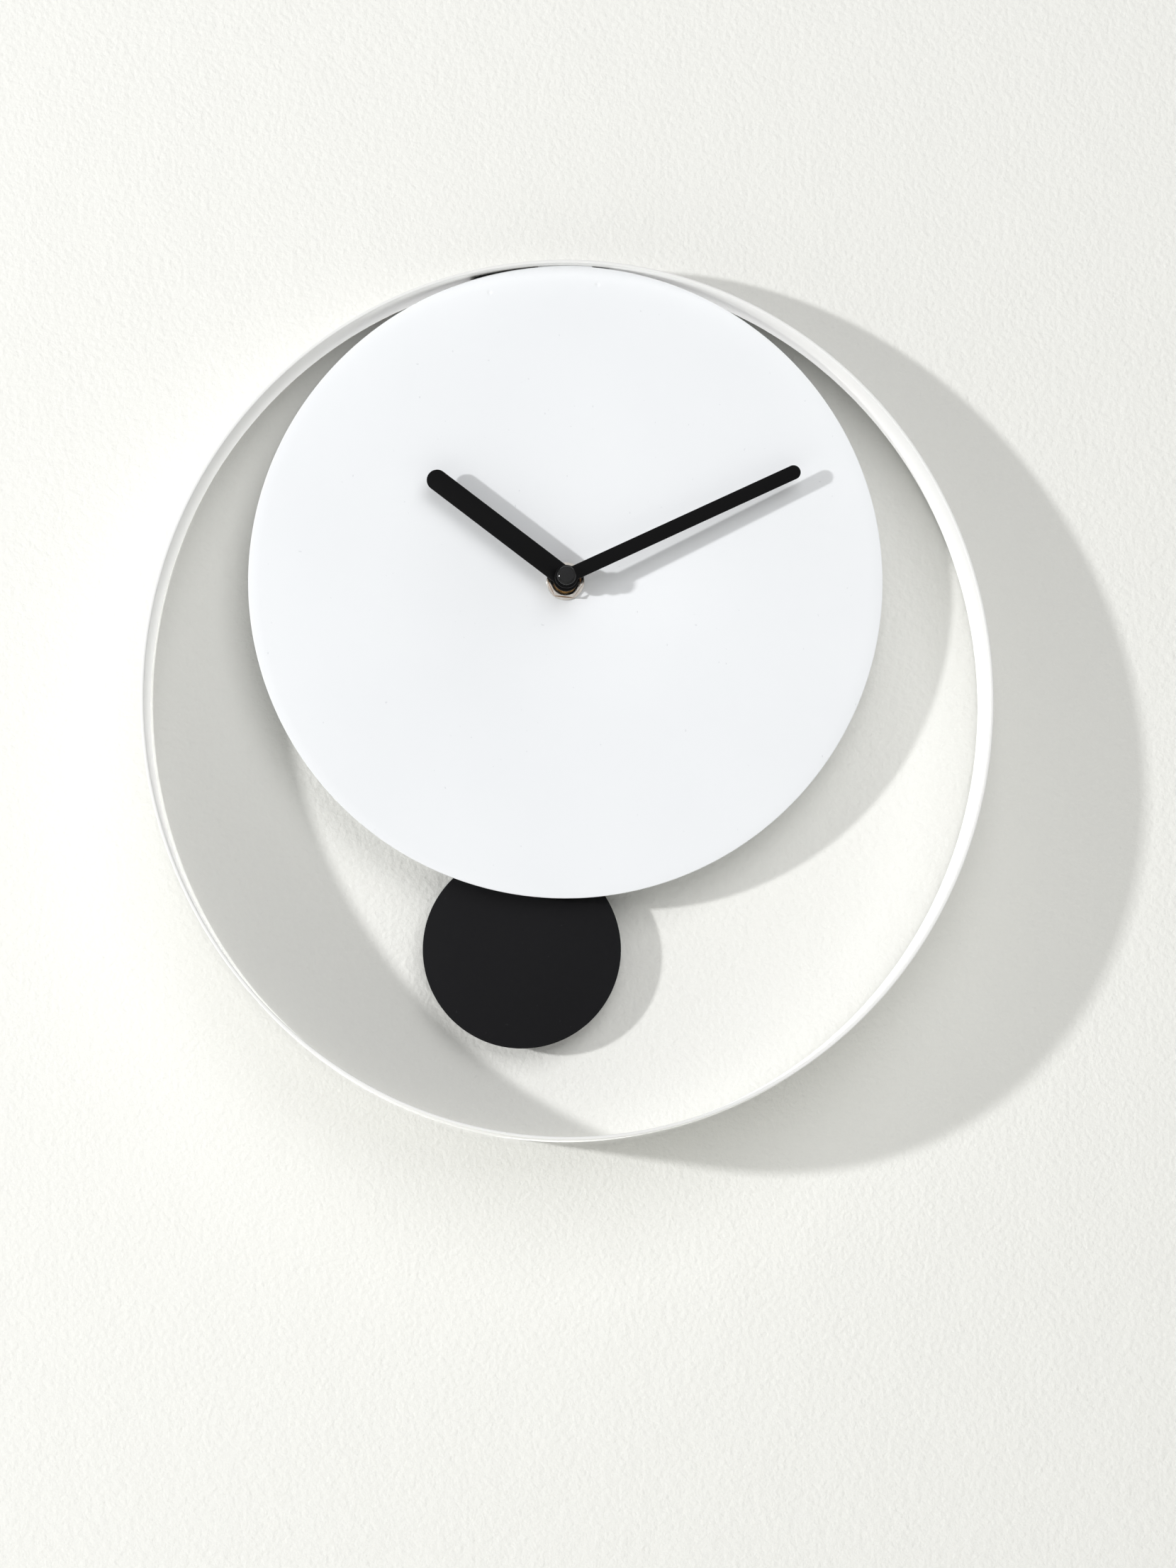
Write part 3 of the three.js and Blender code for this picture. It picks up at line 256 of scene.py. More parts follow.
class HoopSettings(bpy.types.PropertyGroup):
    """The thin hoop that carries the dial."""

    sheet: length("Sheet", "Thickness of the steel strip", 1.3)
    depth_top: length(
        "Depth at the top", "How far the front edge stands off the wall at the top", 23.4
    )
    depth_bottom: length("Depth at the bottom", "The same at the bottom", 56.6)
    edge: length("Edge rounding", "Radius that the paint leaves on the strip's edges", 0.4)
    paint: colour("Paint", "Colour of the hoop and its rivets", "#F4F4F3")


class DialSettings(bpy.types.PropertyGroup):
    """The plain round dial."""

    sheet: length("Sheet", "Thickness of the steel disc", 1)
    edge: length("Edge rounding", "Radius on the disc's edge", 0.25)
    mark_width: length("Weld mark width", "Width of the dimple in front of each weld stud", 2.8)
    mark_depth: length("Weld mark depth", "Depth of that dimple", 0.2)
    paint: colour("Paint", "Colour of the dial", "#F6F8FB")


class HandSettings(bpy.types.PropertyGroup):
    """The two hands and the cap."""

    sheet: length("Sheet", "Thickness of the hands", 0.8)
    edge: length("Edge rounding", "Radius on the hands' stamped edges", 0.22)
    hour_length: length("Hour hand length", "From the shaft to the tip", 69.8)
    hour_width: length("Hour hand width", "Across the strip", 8.4)
    hour_hub: length("Hour hand hub", "Radius of the round end", 5.3)
    hour_bearing: bearing("Hour hand bearing", "Clockwise from twelve", 307.4)
    minute_length: length("Minute hand length", "From the shaft to the tip", 104.4)
    minute_width: length("Minute hand width", "Across the strip", 5.8)
    minute_hub: length("Minute hand hub", "Radius of the round end", 4.7)
    minute_bearing: bearing("Minute hand bearing", "Clockwise from twelve", 65)
    minute_fall: bearing("Minute hand fall", "How far the hand bends back towards the dial", 2.3)
    cap_edge: length("Cap bevel", "Width of the polished bevel round the cap's face", 0.95)
    lacquer: colour("Lacquer", "Colour of both hands", "#0A0A0B")
    cap: colour("Cap", "Colour of the cap", "#19191A")


class PendulumSettings(bpy.types.PropertyGroup):
    """The swinging disc and what it hangs from."""

    bob_radius: length("Disc radius", "Radius of the swinging disc", 40.4)
    length: length("Length", "From the pivot to the disc's centre", BOB.length)
    edge: length("Edge rounding", "Radius on the disc's edge", 0.2)
    paint: colour("Paint", "Colour of the disc", "#141416")


class MovementSettings(bpy.types.PropertyGroup):
    """The movement behind the dial."""

    edge: length("Edge rounding", "Radius on the moulded case's outer edges", 0.5)
    plastic: colour("Case plastic", "Colour of the case, its covers and the knob", "#1B1C1E")
    jacket: colour("Cell jacket", "Colour of the cell's printed film", "#46536A")
    ridges: IntProperty(
        name="Knob ridges", description="Grip ridges round the knob", default=24, min=6
    )


class StageSettings(bpy.types.PropertyGroup):
    """The wall, the floor, the lamps and the camera."""

    wall: colour("Wall", "Colour of the painted wall and the floor", "#F6F6F2")
    ambient: level("Ambient light", "Strength of the even light", 0.18)
    backdrop: level("Backdrop", "Brightness seen beyond the stage, where 1 is white", 0.8)
    key: level(
        "Key light",
        "Share of white that a sheet on the wall returns under the lamp at the left",
        0.325,
    )
    fill: level("Fill light", "The same for the large soft lamp in front", 0.38)
    back: level("Back light", "The same for the lamp behind the clock", 0.4)
    key_size: length(
        "Key light size", "Side of the square lamp; a larger one gives softer shadows", 120
    )
    lens: FloatProperty(
        name="Focal length",
        description="Camera lens",
        default=92.7,
        min=1,
        subtype="DISTANCE_CAMERA",
    )


class ClockSettings(bpy.types.PropertyGroup):
    """Everything that the clock's operators read."""

    hoop: PointerProperty(type=HoopSettings)
    dial: PointerProperty(type=DialSettings)
    hands: PointerProperty(type=HandSettings)
    pendulum: PointerProperty(type=PendulumSettings)
    movement: PointerProperty(type=MovementSettings)
    stage: PointerProperty(type=StageSettings)


# ---------------------------------------------------------------- shaping


def turned(profile, facets=ROUND_FACETS):
    """A profile of (radius, height) points turned about z. It is closed into a ring, unless it
    runs from the axis to the axis."""
    shape = bmesh.new()
    points = [shape.verts.new((radius, 0, height)) for radius, height in profile]
    edges = [shape.edges.new(pair) for pair in zip(points, points[1:])]
    if profile[0][0] > 0:
        edges.append(shape.edges.new((points[-1], points[0])))
    bmesh.ops.spin(
        shape,
        geom=points + edges,
        cent=(0, 0, 0),
        axis=(0, 0, 1),
        angle=2 * math.pi,
        steps=facets,
        use_merge=True,
        use_duplicate=False,
    )
    bmesh.ops.remove_doubles(shape, verts=shape.verts, dist=MERGE)
    bmesh.ops.recalc_face_normals(shape, faces=shape.faces)
    return shape


def block(left, right, bottom, top, back, front):
    """A block between six planes."""
    size = Vector((right - left, top - bottom, front - back))
    middle = Vector((right + left, top + bottom, front + back)) / 2
    shape = bmesh.new()
    place = Matrix.Translation(middle) @ Matrix.Diagonal((*size, 1))
    bmesh.ops.create_cube(shape, size=1, matrix=place)
    return shape


def bar(radius, back, front, at=(0, 0), facets=SMALL_FACETS, turn=0):
    """A round or many-sided bar along z."""
    shape = bmesh.new()
    bmesh.ops.create_cone(
        shape,
        cap_ends=True,
        segments=facets,
        radius1=radius,
        radius2=radius,
        depth=front - back,
        matrix=placed((*at, (back + front) / 2), turn),
    )
    return shape


def moved(shape, matrix):
    bmesh.ops.transform(shape, matrix=matrix, verts=shape.verts)
    return shape


def along_x(middle, way):
    return abs(way.x) > 0.9


def along_z(middle, way):
    return abs(way.z) > 0.9


def soften(shape, reach, segments=3, sharper=50, where=None):
    """Rounds a shape's sharp edges, or those whose middle and direction pass a test."""
    chosen = []
    for edge in shape.edges:
        first, last = (vert.co for vert in edge.verts)
        if edge.calc_face_angle(0) > math.radians(sharper):
            if where is None or where((first + last) / 2, (last - first).normalized()):
                chosen.append(edge)
    bmesh.ops.bevel(
        shape,
        geom=chosen,
        offset=reach,
        offset_type="OFFSET",
        segments=segments,
        profile=0.5,
        affect="EDGES",
        material=-1,
        clamp_overlap=True,
    )
    return shape


def combined(shape, tool, operation):
    """The shape with the tool joined to it, cut out of it, or kept in common with it. Both are
    used up."""
    things = []
    for part in (shape, tool):
        mesh = bpy.data.meshes.new("making")
        part.to_mesh(mesh)
        part.free()
        things.append(bpy.data.objects.new("making", mesh))
        bpy.context.scene.collection.objects.link(things[-1])
    step = things[0].modifiers.new("making", "BOOLEAN")
    step.operation = operation
    step.solver = "EXACT"
    step.object = things[1]
    result = bmesh.new()
    result.from_object(things[0], bpy.context.evaluated_depsgraph_get())
    for thing in things:
        mesh = thing.data
        bpy.data.objects.remove(thing)
        bpy.data.meshes.remove(mesh)
    if not result.faces:
        raise RuntimeError("a join or a cut left nothing")
    bmesh.ops.remove_doubles(result, verts=result.verts, dist=MERGE)
    return result


def flattened(shape):
    """Clears the edges that a join leaves across a flat face."""
    bmesh.ops.dissolve_limit(
        shape,
        angle_limit=math.radians(0.5),
        verts=shape.verts,
        edges=shape.edges,
        use_dissolve_boundaries=False,
    )
    return shape


def joined(shape, *tools):
    for tool in tools:
        shape = combined(shape, tool, "UNION")
    return shape


def cut(shape, *tools):
    for tool in tools:
        shape = combined(shape, tool, "DIFFERENCE")
    return shape


def piece(name, shape, materials, body, replaced):
    """Turns a shape in clock axes into a piece of the object that rides on a body."""
    for face in shape.faces:
        face.smooth = True
    for edge in shape.edges:
        edge.smooth = edge.calc_face_angle(0) < CREASE
    mesh = bpy.data.meshes.new(name)
    moved(shape, TO_ROOM).to_mesh(mesh)
    shape.free()
    for material in materials:
        mesh.materials.append(material)
    thing = bpy.data.objects.new(name, mesh)
    bpy.context.scene.collection.objects.link(thing)
    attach(thing, body)
    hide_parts(replaced)
    return thing


def thread(radius, pitch, back, front):
    """The outline of a V thread as (radius, height) points, from back to front."""
    depth = 0.55 * pitch
    turns = int((front - back) / pitch)
    points = []
    for turn in range(turns):
        root = back + turn * pitch
        points += [(radius - depth, root + 0.08 * pitch), (radius, root + 0.44 * pitch)]
        points += [(radius, root + 0.56 * pitch), (radius - depth, root + 0.92 * pitch)]
    return points


def hexagon_nut(flats, bore, sink, back, front, turn=0):
    """A hexagon nut whose corners are turned off at both faces and whose bore is countersunk. The
    countersinks take the second material."""
    corner = flats / math.sqrt(3)
    lead = flats / 2 - 0.03 * flats
    fall = (corner + 1 - lead) * math.tan(math.radians(30))
    prism = bar(corner, back, front, facets=6, turn=math.radians(30) + turn)
    soften(prism, 0.02 * flats, 2, where=along_z)
    turning = turned(
        [
            (0, back),
            (lead, back),
            (corner + 1, back + fall),
            (corner + 1, front - fall),
            (lead, front),
            (0, front),
        ]
    )
    slope = 0.7 * sink
    drill = turned(
        [
            (0, back - slope),
            (bore + 2 * sink, back - slope),
            (bore, back + slope),
            (bore, front - slope),
            (bore + 2 * sink, front + slope),
            (0, front + slope),
        ]
    )
    shape = cut(combined(prism, turning, "INTERSECT"), drill)
    for face in shape.faces:
        if face.calc_center_median().xy.length < bore + sink - 0.01 and abs(face.normal.z) < 0.99:
            face.material_index = 1
    return shape


# ---------------------------------------------------------------- materials

NOISE = {"From Min": 0.3, "From Max": 0.7}  # between which nearly all of a noise's values lie


def node(tree, kind, inputs=None, **settings):
    """Adds a node with its settings. An input, by name or number, takes a value, an output or a
    node."""
    made = tree.nodes.new("ShaderNode" + kind)
    for name, value in settings.items():
        setattr(made, name, value)
    for name, value in (inputs or {}).items():
        named = [socket for socket in made.inputs if socket.enabled and socket.name == name]
        socket = named[0] if named else made.inputs[name]
        if isinstance(value, bpy.types.Node):
            value = next(output for output in value.outputs if output.enabled)
        if isinstance(value, bpy.types.NodeSocket):
            tree.links.new(value, socket)
        else:
            socket.default_value = value
    return made


def started(name):
    """A new material with an empty tree, and the Object coordinates in it."""
    material = bpy.data.materials.new(name)
    material.use_nodes = True
    material.node_tree.nodes.clear()
    return material, material.node_tree, node(material.node_tree, "TexCoord").outputs["Object"]


def per(size):
    """The scale of a texture whose features are this many millimetres across."""
    return 1 / (size * MM)


def powder_coat(name, base, fleck, roughness, peel, depth, gloss=0.5):
    """Powder-coated sheet metal. The baked powder gives an even colour with a faint orange peel, a
    little uneven in gloss, and here and there a fleck of dust under the surface."""
    material, tree, place = started(name)
    base, fleck = (*base, 1), (*linear(fleck), 1)
    broad = node(tree, "TexNoise", {"Vector": place, "Scale": per(60), "Detail": 1.0})
    coarse = node(tree, "TexNoise", {"Vector": place, "Scale": per(peel), "Detail": 2.0})
    fine = node(tree, "TexNoise", {"Vector": place, "Scale": per(peel / 3), "Detail": 1.0})
    dust = node(tree, "TexNoise", {"Vector": place, "Scale": per(1.5), "Detail": 0.0})
    drift = node(tree, "MapRange", {"Value": broad, **NOISE, "To Max": 0.05})
    shade = node(tree, "Mix", {"Factor": drift, "A": base, "B": fleck}, data_type="RGBA")
    dots = {"Value": dust, "From Min": 0.865, "From Max": 0.9, "To Max": 0.3}
    flecks = node(tree, "MapRange", dots)
    shade = node(tree, "Mix", {"Factor": flecks, "A": shade, "B": fleck}, data_type="RGBA")
    sheen = {**NOISE, "To Min": roughness - 0.05, "To Max": roughness + 0.05}
    uneven = node(tree, "MapRange", {"Value": coarse, **sheen})
    waves = node(tree, "Bump", {"Height": coarse, "Distance": depth * MM})
    grain = node(tree, "Bump", {"Height": fine, "Distance": depth / 4 * MM, "Normal": waves})
    look = {
        "Base Color": shade,
        "Roughness": uneven,
        "Normal": grain,
        "IOR": 1.5,
        "Specular IOR Level": gloss,
    }
    shader = node(tree, "BsdfPrincipled", look)
    node(tree, "OutputMaterial", {"Surface": shader})
    return material


def moulded(name, base, scuff, roughness, grain, depth, gloss=0.5):
    """Injection-moulded plastic. The tool's spark-eroded face leaves a fine pebbled grain, and
    handling leaves paler scuffs on it."""
    material, tree, place = started(name)
    base, scuff = (*base, 1), (*linear(scuff), 1)
    pebble = node(tree, "TexVoronoi", {"Vector": place, "Scale": per(grain)}, feature="SMOOTH_F1")
    cloud = node(tree, "TexNoise", {"Vector": place, "Scale": per(9), "Detail": 3.0})
    scratch = {"Vector": place, "Scale": per(3.5), "Detail": 4.0, "Distortion": 1.5}
    rub = node(tree, "TexNoise", scratch)
    drift = node(tree, "MapRange", {"Value": cloud, **NOISE, "To Max": 0.12})
    shade = node(tree, "Mix", {"Factor": drift, "A": base, "B": scuff}, data_type="RGBA")
    worn = node(tree, "MapRange", {"Value": rub, "From Min": 0.66, "From Max": 0.8, "To Max": 0.35})
    shade = node(tree, "Mix", {"Factor": worn, "A": shade, "B": scuff}, data_type="RGBA")
    sheen = {**NOISE, "To Min": roughness + 0.06, "To Max": roughness - 0.06}
    uneven = node(tree, "MapRange", {"Value": cloud, **sheen})
    pebbled = node(tree, "Bump", {"Height": pebble, "Distance": depth * MM})
    sunk = node(tree, "Bump", {"Height": cloud, "Distance": depth / 2 * MM, "Normal": pebbled})
    look = {
        "Base Color": shade,
        "Roughness": uneven,
        "Normal": sunk,
        "IOR": 1.5,
        "Specular IOR Level": gloss,
    }
    shader = node(tree, "BsdfPrincipled", look)
    node(tree, "OutputMaterial", {"Surface": shader})
    return material


def metal(name, base, stain, roughness, axis, line, depth):
    """Plated or drawn metal. Fine lines run round the hands' shaft, or across an axis, where the
    tool or the die has left them, and thin clouds of tarnish dull the shine."""
    material, tree, place = started(name)
    base, stain = (*base, 1), (*linear(stain), 1)
    at, kind = place, {"wave_type": "BANDS", "bands_direction": axis}
    if axis == "ROUND":
        at = node(tree, "Mapping", {"Vector": place, "Location": (-HUB.x * MM, 0, -HUB.y * MM)})
        kind = {"wave_type": "RINGS", "rings_direction": "Y"}
    across = {"Vector": at, "Scale": per(20 * line), "Distortion": 1.2, "Detail": 3.0}
    lines = node(tree, "TexWave", across, **kind)
    cloud = node(tree, "TexNoise", {"Vector": place, "Scale": per(2.5), "Detail": 3.0})
    drift = node(tree, "MapRange", {"Value": cloud, **NOISE, "To Max": 0.3})
    shade = node(tree, "Mix", {"Factor": drift, "A": base, "B": stain}, data_type="RGBA")
    sheen = {**NOISE, "To Min": roughness - 0.04, "To Max": roughness + 0.1}
    uneven = node(tree, "MapRange", {"Value": cloud, **sheen})
    lined = node(tree, "Bump", {"Height": lines.outputs["Fac"], "Distance": depth * MM})
    look = {"Base Color": shade, "Roughness": uneven, "Normal": lined, "Metallic": 1.0}
    shader = node(tree, "BsdfPrincipled", look)
    node(tree, "OutputMaterial", {"Surface": shader})
    return material


def wound_wire(name):
    """Enamelled copper wire, machine wound. Each turn shows as a thin rounded line, and a darker
    copper is painted into the grooves between the turns as painted shade. The enamel gives it a warm
    gloss."""
    material, tree, place = started(name)
    # The second colour, gap, is painted shade for the grooves between the turns
    copper, gap = (*linear("#B4622F"), 1), (*linear("#5A2C14"), 1)
    # Turns 0.25 mm apart
    across = {"Vector": place, "Scale": per(5), "Distortion": 0.4}
    turns = node(tree, "TexWave", across, bands_direction="X").outputs["Fac"]
    # Painted shade: where the turns sink, the darker copper is mixed in
    sunk = node(tree, "MapRange", {"Value": turns, "From Max": 0.5, "To Min": 1.0, "To Max": 0.0})
    shade = node(tree, "Mix", {"Factor": sunk, "A": copper, "B": gap}, data_type="RGBA")
    rounded = node(tree, "Bump", {"Height": turns, "Distance": 0.05 * MM})
    look = {
        "Base Color": shade,
        "Normal": rounded,
        "Metallic": 1.0,
        "Roughness": 0.32,
        "Coat Weight": 0.5,
    }
    shader = node(tree, "BsdfPrincipled", look)
    node(tree, "OutputMaterial", {"Surface": shader})
    return material


def dull(name, base, dust):
    """Die-cut rubber or card. It is dull all over, dusty on the faces and slightly pitted."""
    material, tree, place = started(name)
    base, dust = (*base, 1), (*linear(dust), 1)
    pits = node(tree, "TexNoise", {"Vector": place, "Scale": per(0.5), "Detail": 3.0})
    cloud = node(tree, "TexNoise", {"Vector": place, "Scale": per(4), "Detail": 3.0})
    drift = node(tree, "MapRange", {"Value": cloud, **NOISE, "To Max": 0.4})
    shade = node(tree, "Mix", {"Factor": drift, "A": base, "B": dust}, data_type="RGBA")
    pitted = node(tree, "Bump", {"Height": pits, "Distance": 0.05 * MM})
    look = {"Base Color": shade, "Normal": pitted, "Roughness": 0.9}
    shader = node(tree, "BsdfPrincipled", look)
    node(tree, "OutputMaterial", {"Surface": shader})
    return material


def circuit_board(name):
    """Glass-fibre board under green solder resist. The cloth's weave shows faintly, and the copper
    tracks stand up as paler lines."""
    material, tree, place = started(name)
    resist, glass, copper = ((*linear(code), 1) for code in ("#1F5C3A", "#174A2E", "#3B8A55"))
    cloth = node(tree, "TexBrick", {"Vector": place, "Scale": per(0.9), "Mortar Size": 0.08})
    weave = cloth.outputs["Fac"]
    # Tracks 1.6 mm apart
    across = {"Vector": place, "Scale": per(32), "Distortion": 6.0, "Detail": 1.0}
    wave = node(tree, "TexWave", across, wave_profile="TRI").outputs["Fac"]
    tracks = node(tree, "MapRange", {"Value": wave, "From Min": 0.72, "From Max": 0.78})
    faint = node(tree, "MapRange", {"Value": weave, "To Max": 0.6})
    shade = node(tree, "Mix", {"Factor": faint, "A": resist, "B": glass}, data_type="RGBA")
    shade = node(tree, "Mix", {"Factor": tracks, "A": shade, "B": copper}, data_type="RGBA")
    raised = node(tree, "Bump", {"Height": tracks, "Distance": 0.035 * MM})
    woven = node(tree, "Bump", {"Height": weave, "Distance": 0.01 * MM, "Normal": raised})
    look = {"Base Color": shade, "Normal": woven, "Roughness": 0.35}
    shader = node(tree, "BsdfPrincipled", look)
    node(tree, "OutputMaterial", {"Surface": shader})
    return material


def cell_jacket(name, base):
    """Printed film shrunk on a dry cell. A metallic ink carries two plain bands round the can, and
    the film is faintly creased all over."""
    material, tree, place = started(name)
    base, ring, end = (*base, 1), (*linear("#B9BDC4"), 1), (*linear("#20252E"), 1)
    along = node(tree, "SeparateXYZ", {"Vector": place}).outputs["X"]
    shade = base
    for start, ink in ((JACKET_RING, ring), (JACKET_END, end)):
        span = {"From Min": start * MM, "From Max": (start + JACKET_EDGE) * MM}
        printed = node(tree, "MapRange", {"Value": along, **span})
        shade = node(tree, "Mix", {"Factor": printed, "A": shade, "B": ink}, data_type="RGBA")
    folds = {"Vector": place, "Scale": per(5), "Detail": 2.0, "Distortion": 2.0}
    crease = node(tree, "TexNoise", folds)
    fine = node(tree, "TexNoise", {"Vector": place, "Scale": per(0.2), "Detail": 1.0})
    sheen = {**NOISE, "To Min": 0.26, "To Max": 0.36}
    uneven = node(tree, "MapRange", {"Value": fine, **sheen})
    creased = node(tree, "Bump", {"Height": crease, "Distance": 0.06 * MM})
    film = node(tree, "Bump", {"Height": fine, "Distance": 0.004 * MM, "Normal": creased})
    look = {
        "Base Color": shade,
        "Roughness": uneven,
        "Normal": film,
        "Metallic": 0.35,
        "Coat Weight": 0.4,
    }
    shader = node(tree, "BsdfPrincipled", look)
    node(tree, "OutputMaterial", {"Surface": shader})
    return material


def wall_paint(name, base):
    """Roller-painted plaster. The roller's nap leaves a fine stipple. The wall shows only from its
    front, so that the clock can be seen from behind."""
    material, tree, place = started(name)
    nap = node(tree, "TexNoise", {"Vector": place, "Scale": per(2.4), "Detail": 3.0})
    swell = node(tree, "TexNoise", {"Vector": place, "Scale": per(30), "Detail": 1.0})
    stipple = node(tree, "Bump", {"Height": nap, "Distance": 0.5 * MM})
    uneven = node(tree, "Bump", {"Height": swell, "Distance": 0.5 * MM, "Normal": stipple})
    look = {"Base Color": (*base, 1), "Normal": uneven, "Roughness": 0.9, "Specular IOR Level": 0.2}
    front = node(tree, "BsdfPrincipled", look)
    behind = node(tree, "NewGeometry").outputs["Backfacing"]
    clear = node(tree, "BsdfTransparent")
    sided = node(tree, "MixShader", {0: behind, 1: front, 2: clear})
    node(tree, "OutputMaterial", {"Surface": sided})
    return material


FINISHES = {}


def finish(name, make, *base, **look):
    """One material of each name, made the first time that a piece asks for it. Sizes in its look
    are in millimetres."""
    if name not in FINISHES:
        FINISHES[name] = make(name, *base, **look)
    return FINISHES[name]


def hoop_paint(settings):
    # Satin white powder: soft highlights that follow the strip round
    look = {"fleck": "#C9C8C4", "roughness": 0.38, "peel": 1.1, "depth": 0.003}
    return finish("hoop satin white powder coat", powder_coat, settings.hoop.paint, **look)


def dial_paint(settings):
    # Matte, faintly cool white powder: no highlight, only a fine dry grain
    look = {"fleck": "#BFC2C8", "roughness": 0.6, "peel": 0.9, "depth": 0.006, "gloss": 0.35}
    return finish("dial matte white powder coat", powder_coat, settings.dial.paint, **look)


def bob_paint(settings):
    # Matte black powder: near black with a dry grey bloom where light rakes it
    look = {"fleck": "#333335", "roughness": 0.5, "peel": 0.8, "depth": 0.008, "gloss": 0.12}
    return finish("pendulum matte black powder coat", powder_coat, settings.pendulum.paint, **look)


def bracket_paint():
    # The same black powder on the hanger, laid thinner
    look = {"fleck": "#3C3C3D", "roughness": 0.5, "peel": 0.9, "depth": 0.01}
    return finish("hanger black powder coat", powder_coat, linear("#1B1C1D"), **look)


def hand_lacquer(settings):
    # Stamped aluminium under black lacquer: smoother and deeper than the powder coat
    look = {"fleck": "#1C1C1D", "roughness": 0.36, "peel": 1.6, "depth": 0.004, "gloss": 0.1}
    return finish("hand black lacquer on aluminium", powder_coat, settings.hands.lacquer, **look)


def cap_plastics(settings):
    # Polished ABS gives a hard small highlight round the rim; the flat face is duller, with a
    # spark texture
    rim = {"scuff": "#1C1C1D", "roughness": 0.13, "grain": 0.5, "depth": 0.0005, "gloss": 0.25}
    face = {"scuff": "#39393A", "roughness": 0.5, "grain": 0.35, "depth": 0.008, "gloss": 0.25}
    return [
        finish("cap polished ABS", moulded, settings.hands.cap, **rim),
        finish("cap textured ABS", moulded, settings.hands.cap, **face),
    ]


def case_plastic(settings):
    # Spark-textured ABS: dull, pebbled
    look = {"scuff": "#3B3C3E", "roughness": 0.52, "grain": 0.6, "depth": 0.02}
    return finish("case textured ABS", moulded, settings.movement.plastic, **look)


def gear_plastic():
    # Natural acetal: milky, smooth, slightly waxy
    look = {"scuff": "#D6D0BF", "roughness": 0.36, "grain": 1.5, "depth": 0.004}
    return finish("gear natural acetal", moulded, linear("#E9E6DC"), **look)


def resin():
    # Glob-top epoxy: black and wet looking
    look = {"scuff": "#242425", "roughness": 0.12, "grain": 2.0, "depth": 0.002}
    return finish("chip black epoxy", moulded, linear("#0F0F10"), **look)


def nickel():
    # Bright nickel over brass: mirror-like, warm grey, with turning lines
    look = {"stain": "#A8998A", "roughness": 0.13, "axis": "ROUND", "line": 0.35, "depth": 0.004}
    return finish("bright nickel plate", metal, linear("#DDD9D3"), **look)


def spring_nickel():
    # Nickelled spring steel: rolled lines along the strip
    look = {"stain": "#8D857A", "roughness": 0.24, "axis": "Z", "line": 0.3, "depth": 0.004}
    return finish("nickelled spring steel", metal, linear("#C9C6C0"), **look)


def brass():
    # Bare turned brass: yellow, with fine turning lines
    look = {"stain": "#9A6B3C", "roughness": 0.2, "axis": "ROUND", "line": 0.3, "depth": 0.005}
    return finish("turned brass", metal, linear("#D9AE6E"), **look)


def steel():
    # Zinc-plated steel: paler and softer than nickel
    look = {"stain": "#77797D", "roughness": 0.34, "axis": "Z", "line": 0.4, "depth": 0.006}
    return finish("zinc-plated steel", metal, linear("#A9ABAE"), **look)


def magnet():
    # Sintered ferrite: dark grey and granular
    look = {"stain": "#333437", "roughness": 0.5, "axis": "Z", "line": 0.5, "depth": 0.01}
    return finish("sintered ferrite", metal, linear("#5A5B5E"), **look)


def rubber():
    # Die-cut rubber sheet: dead matt and dusty
    return finish("die-cut black rubber", dull, linear("#161616"), dust="#3A3936")


def film(settings):
    # Printed film on the cell: blue ink under a thin gloss
    return finish("cell printed film", cell_jacket, settings.movement.jacket)


def copper():
    # Enamelled copper, machine wound: warm and shiny, with fine turns
    return finish("enamelled copper winding", wound_wire)


def board():
    # Glass-fibre board: green resist over woven cloth, with raised tracks
    return finish("green glass-fibre board", circuit_board)


def plaster(settings):
    # Painted plaster: dead matt, with the roller's stipple
    return finish("roller-painted plaster", wall_paint, settings.wall)


def coat_nodes(material, *nodes):
    """Gives a finish to CAD nodes that are shown as they are."""
    for name in nodes:
        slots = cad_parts[name].data.materials
        slots.clear()
        slots.append(material)


# ---------------------------------------------------------------- hoop and dial


def under_hoop(x, gap):
    """The height of the hoop's inner face near its top, less a gap."""
    box = extent("ring_hoop")
    sheet = bpy.context.scene.wall_clock.hoop.sheet / MM
    rise = (box.half_height - sheet) * math.sqrt(1 - (x / (box.half_width - sheet)) ** 2)
    return box.middle_y + rise - gap


def rivet_holes(radius):
    """Upright bars where the two rivets pass through the hoop and the lug."""
    bars = []
    for side in SIDES:
        box = extent(f"hoop_rivet_{side}")
        upright = placed((box.middle_x, 0, box.middle_z), QUARTER, "X")
        bars.append(moved(bar(radius, -box.top - 1, -box.bottom + 1), upright))
    return bars


def hoop_shape(settings):
    """A rolled strip: a round ring drawn out to an oval, whose front edge slants."""
    box = extent("ring_hoop")
    outer = box.half_width
    inner = outer - settings.sheet / MM
    top, bottom = settings.depth_top / MM, settings.depth_bottom / MM
    depth = (top + bottom) / 2
    shape = turned([(inner, 0), (outer, 0), (outer, depth), (inner, depth)], HOOP_FACETS)
    soften(shape, settings.edge / MM, 4)
    for vert in shape.verts:
        radius = math.hypot(vert.co.x, vert.co.y)
        inset = outer - radius
        vert.co.y *= (box.half_height - inset) / radius
        if vert.co.z > depth / 2:
            vert.co.z -= (bottom - top) * vert.co.y / (2 * box.half_height)
    moved(shape, Matrix.Translation((0, box.middle_y, 0)))
    return cut(shape, *rivet_holes(RIVET_SHANK + RUNNING_GAP))


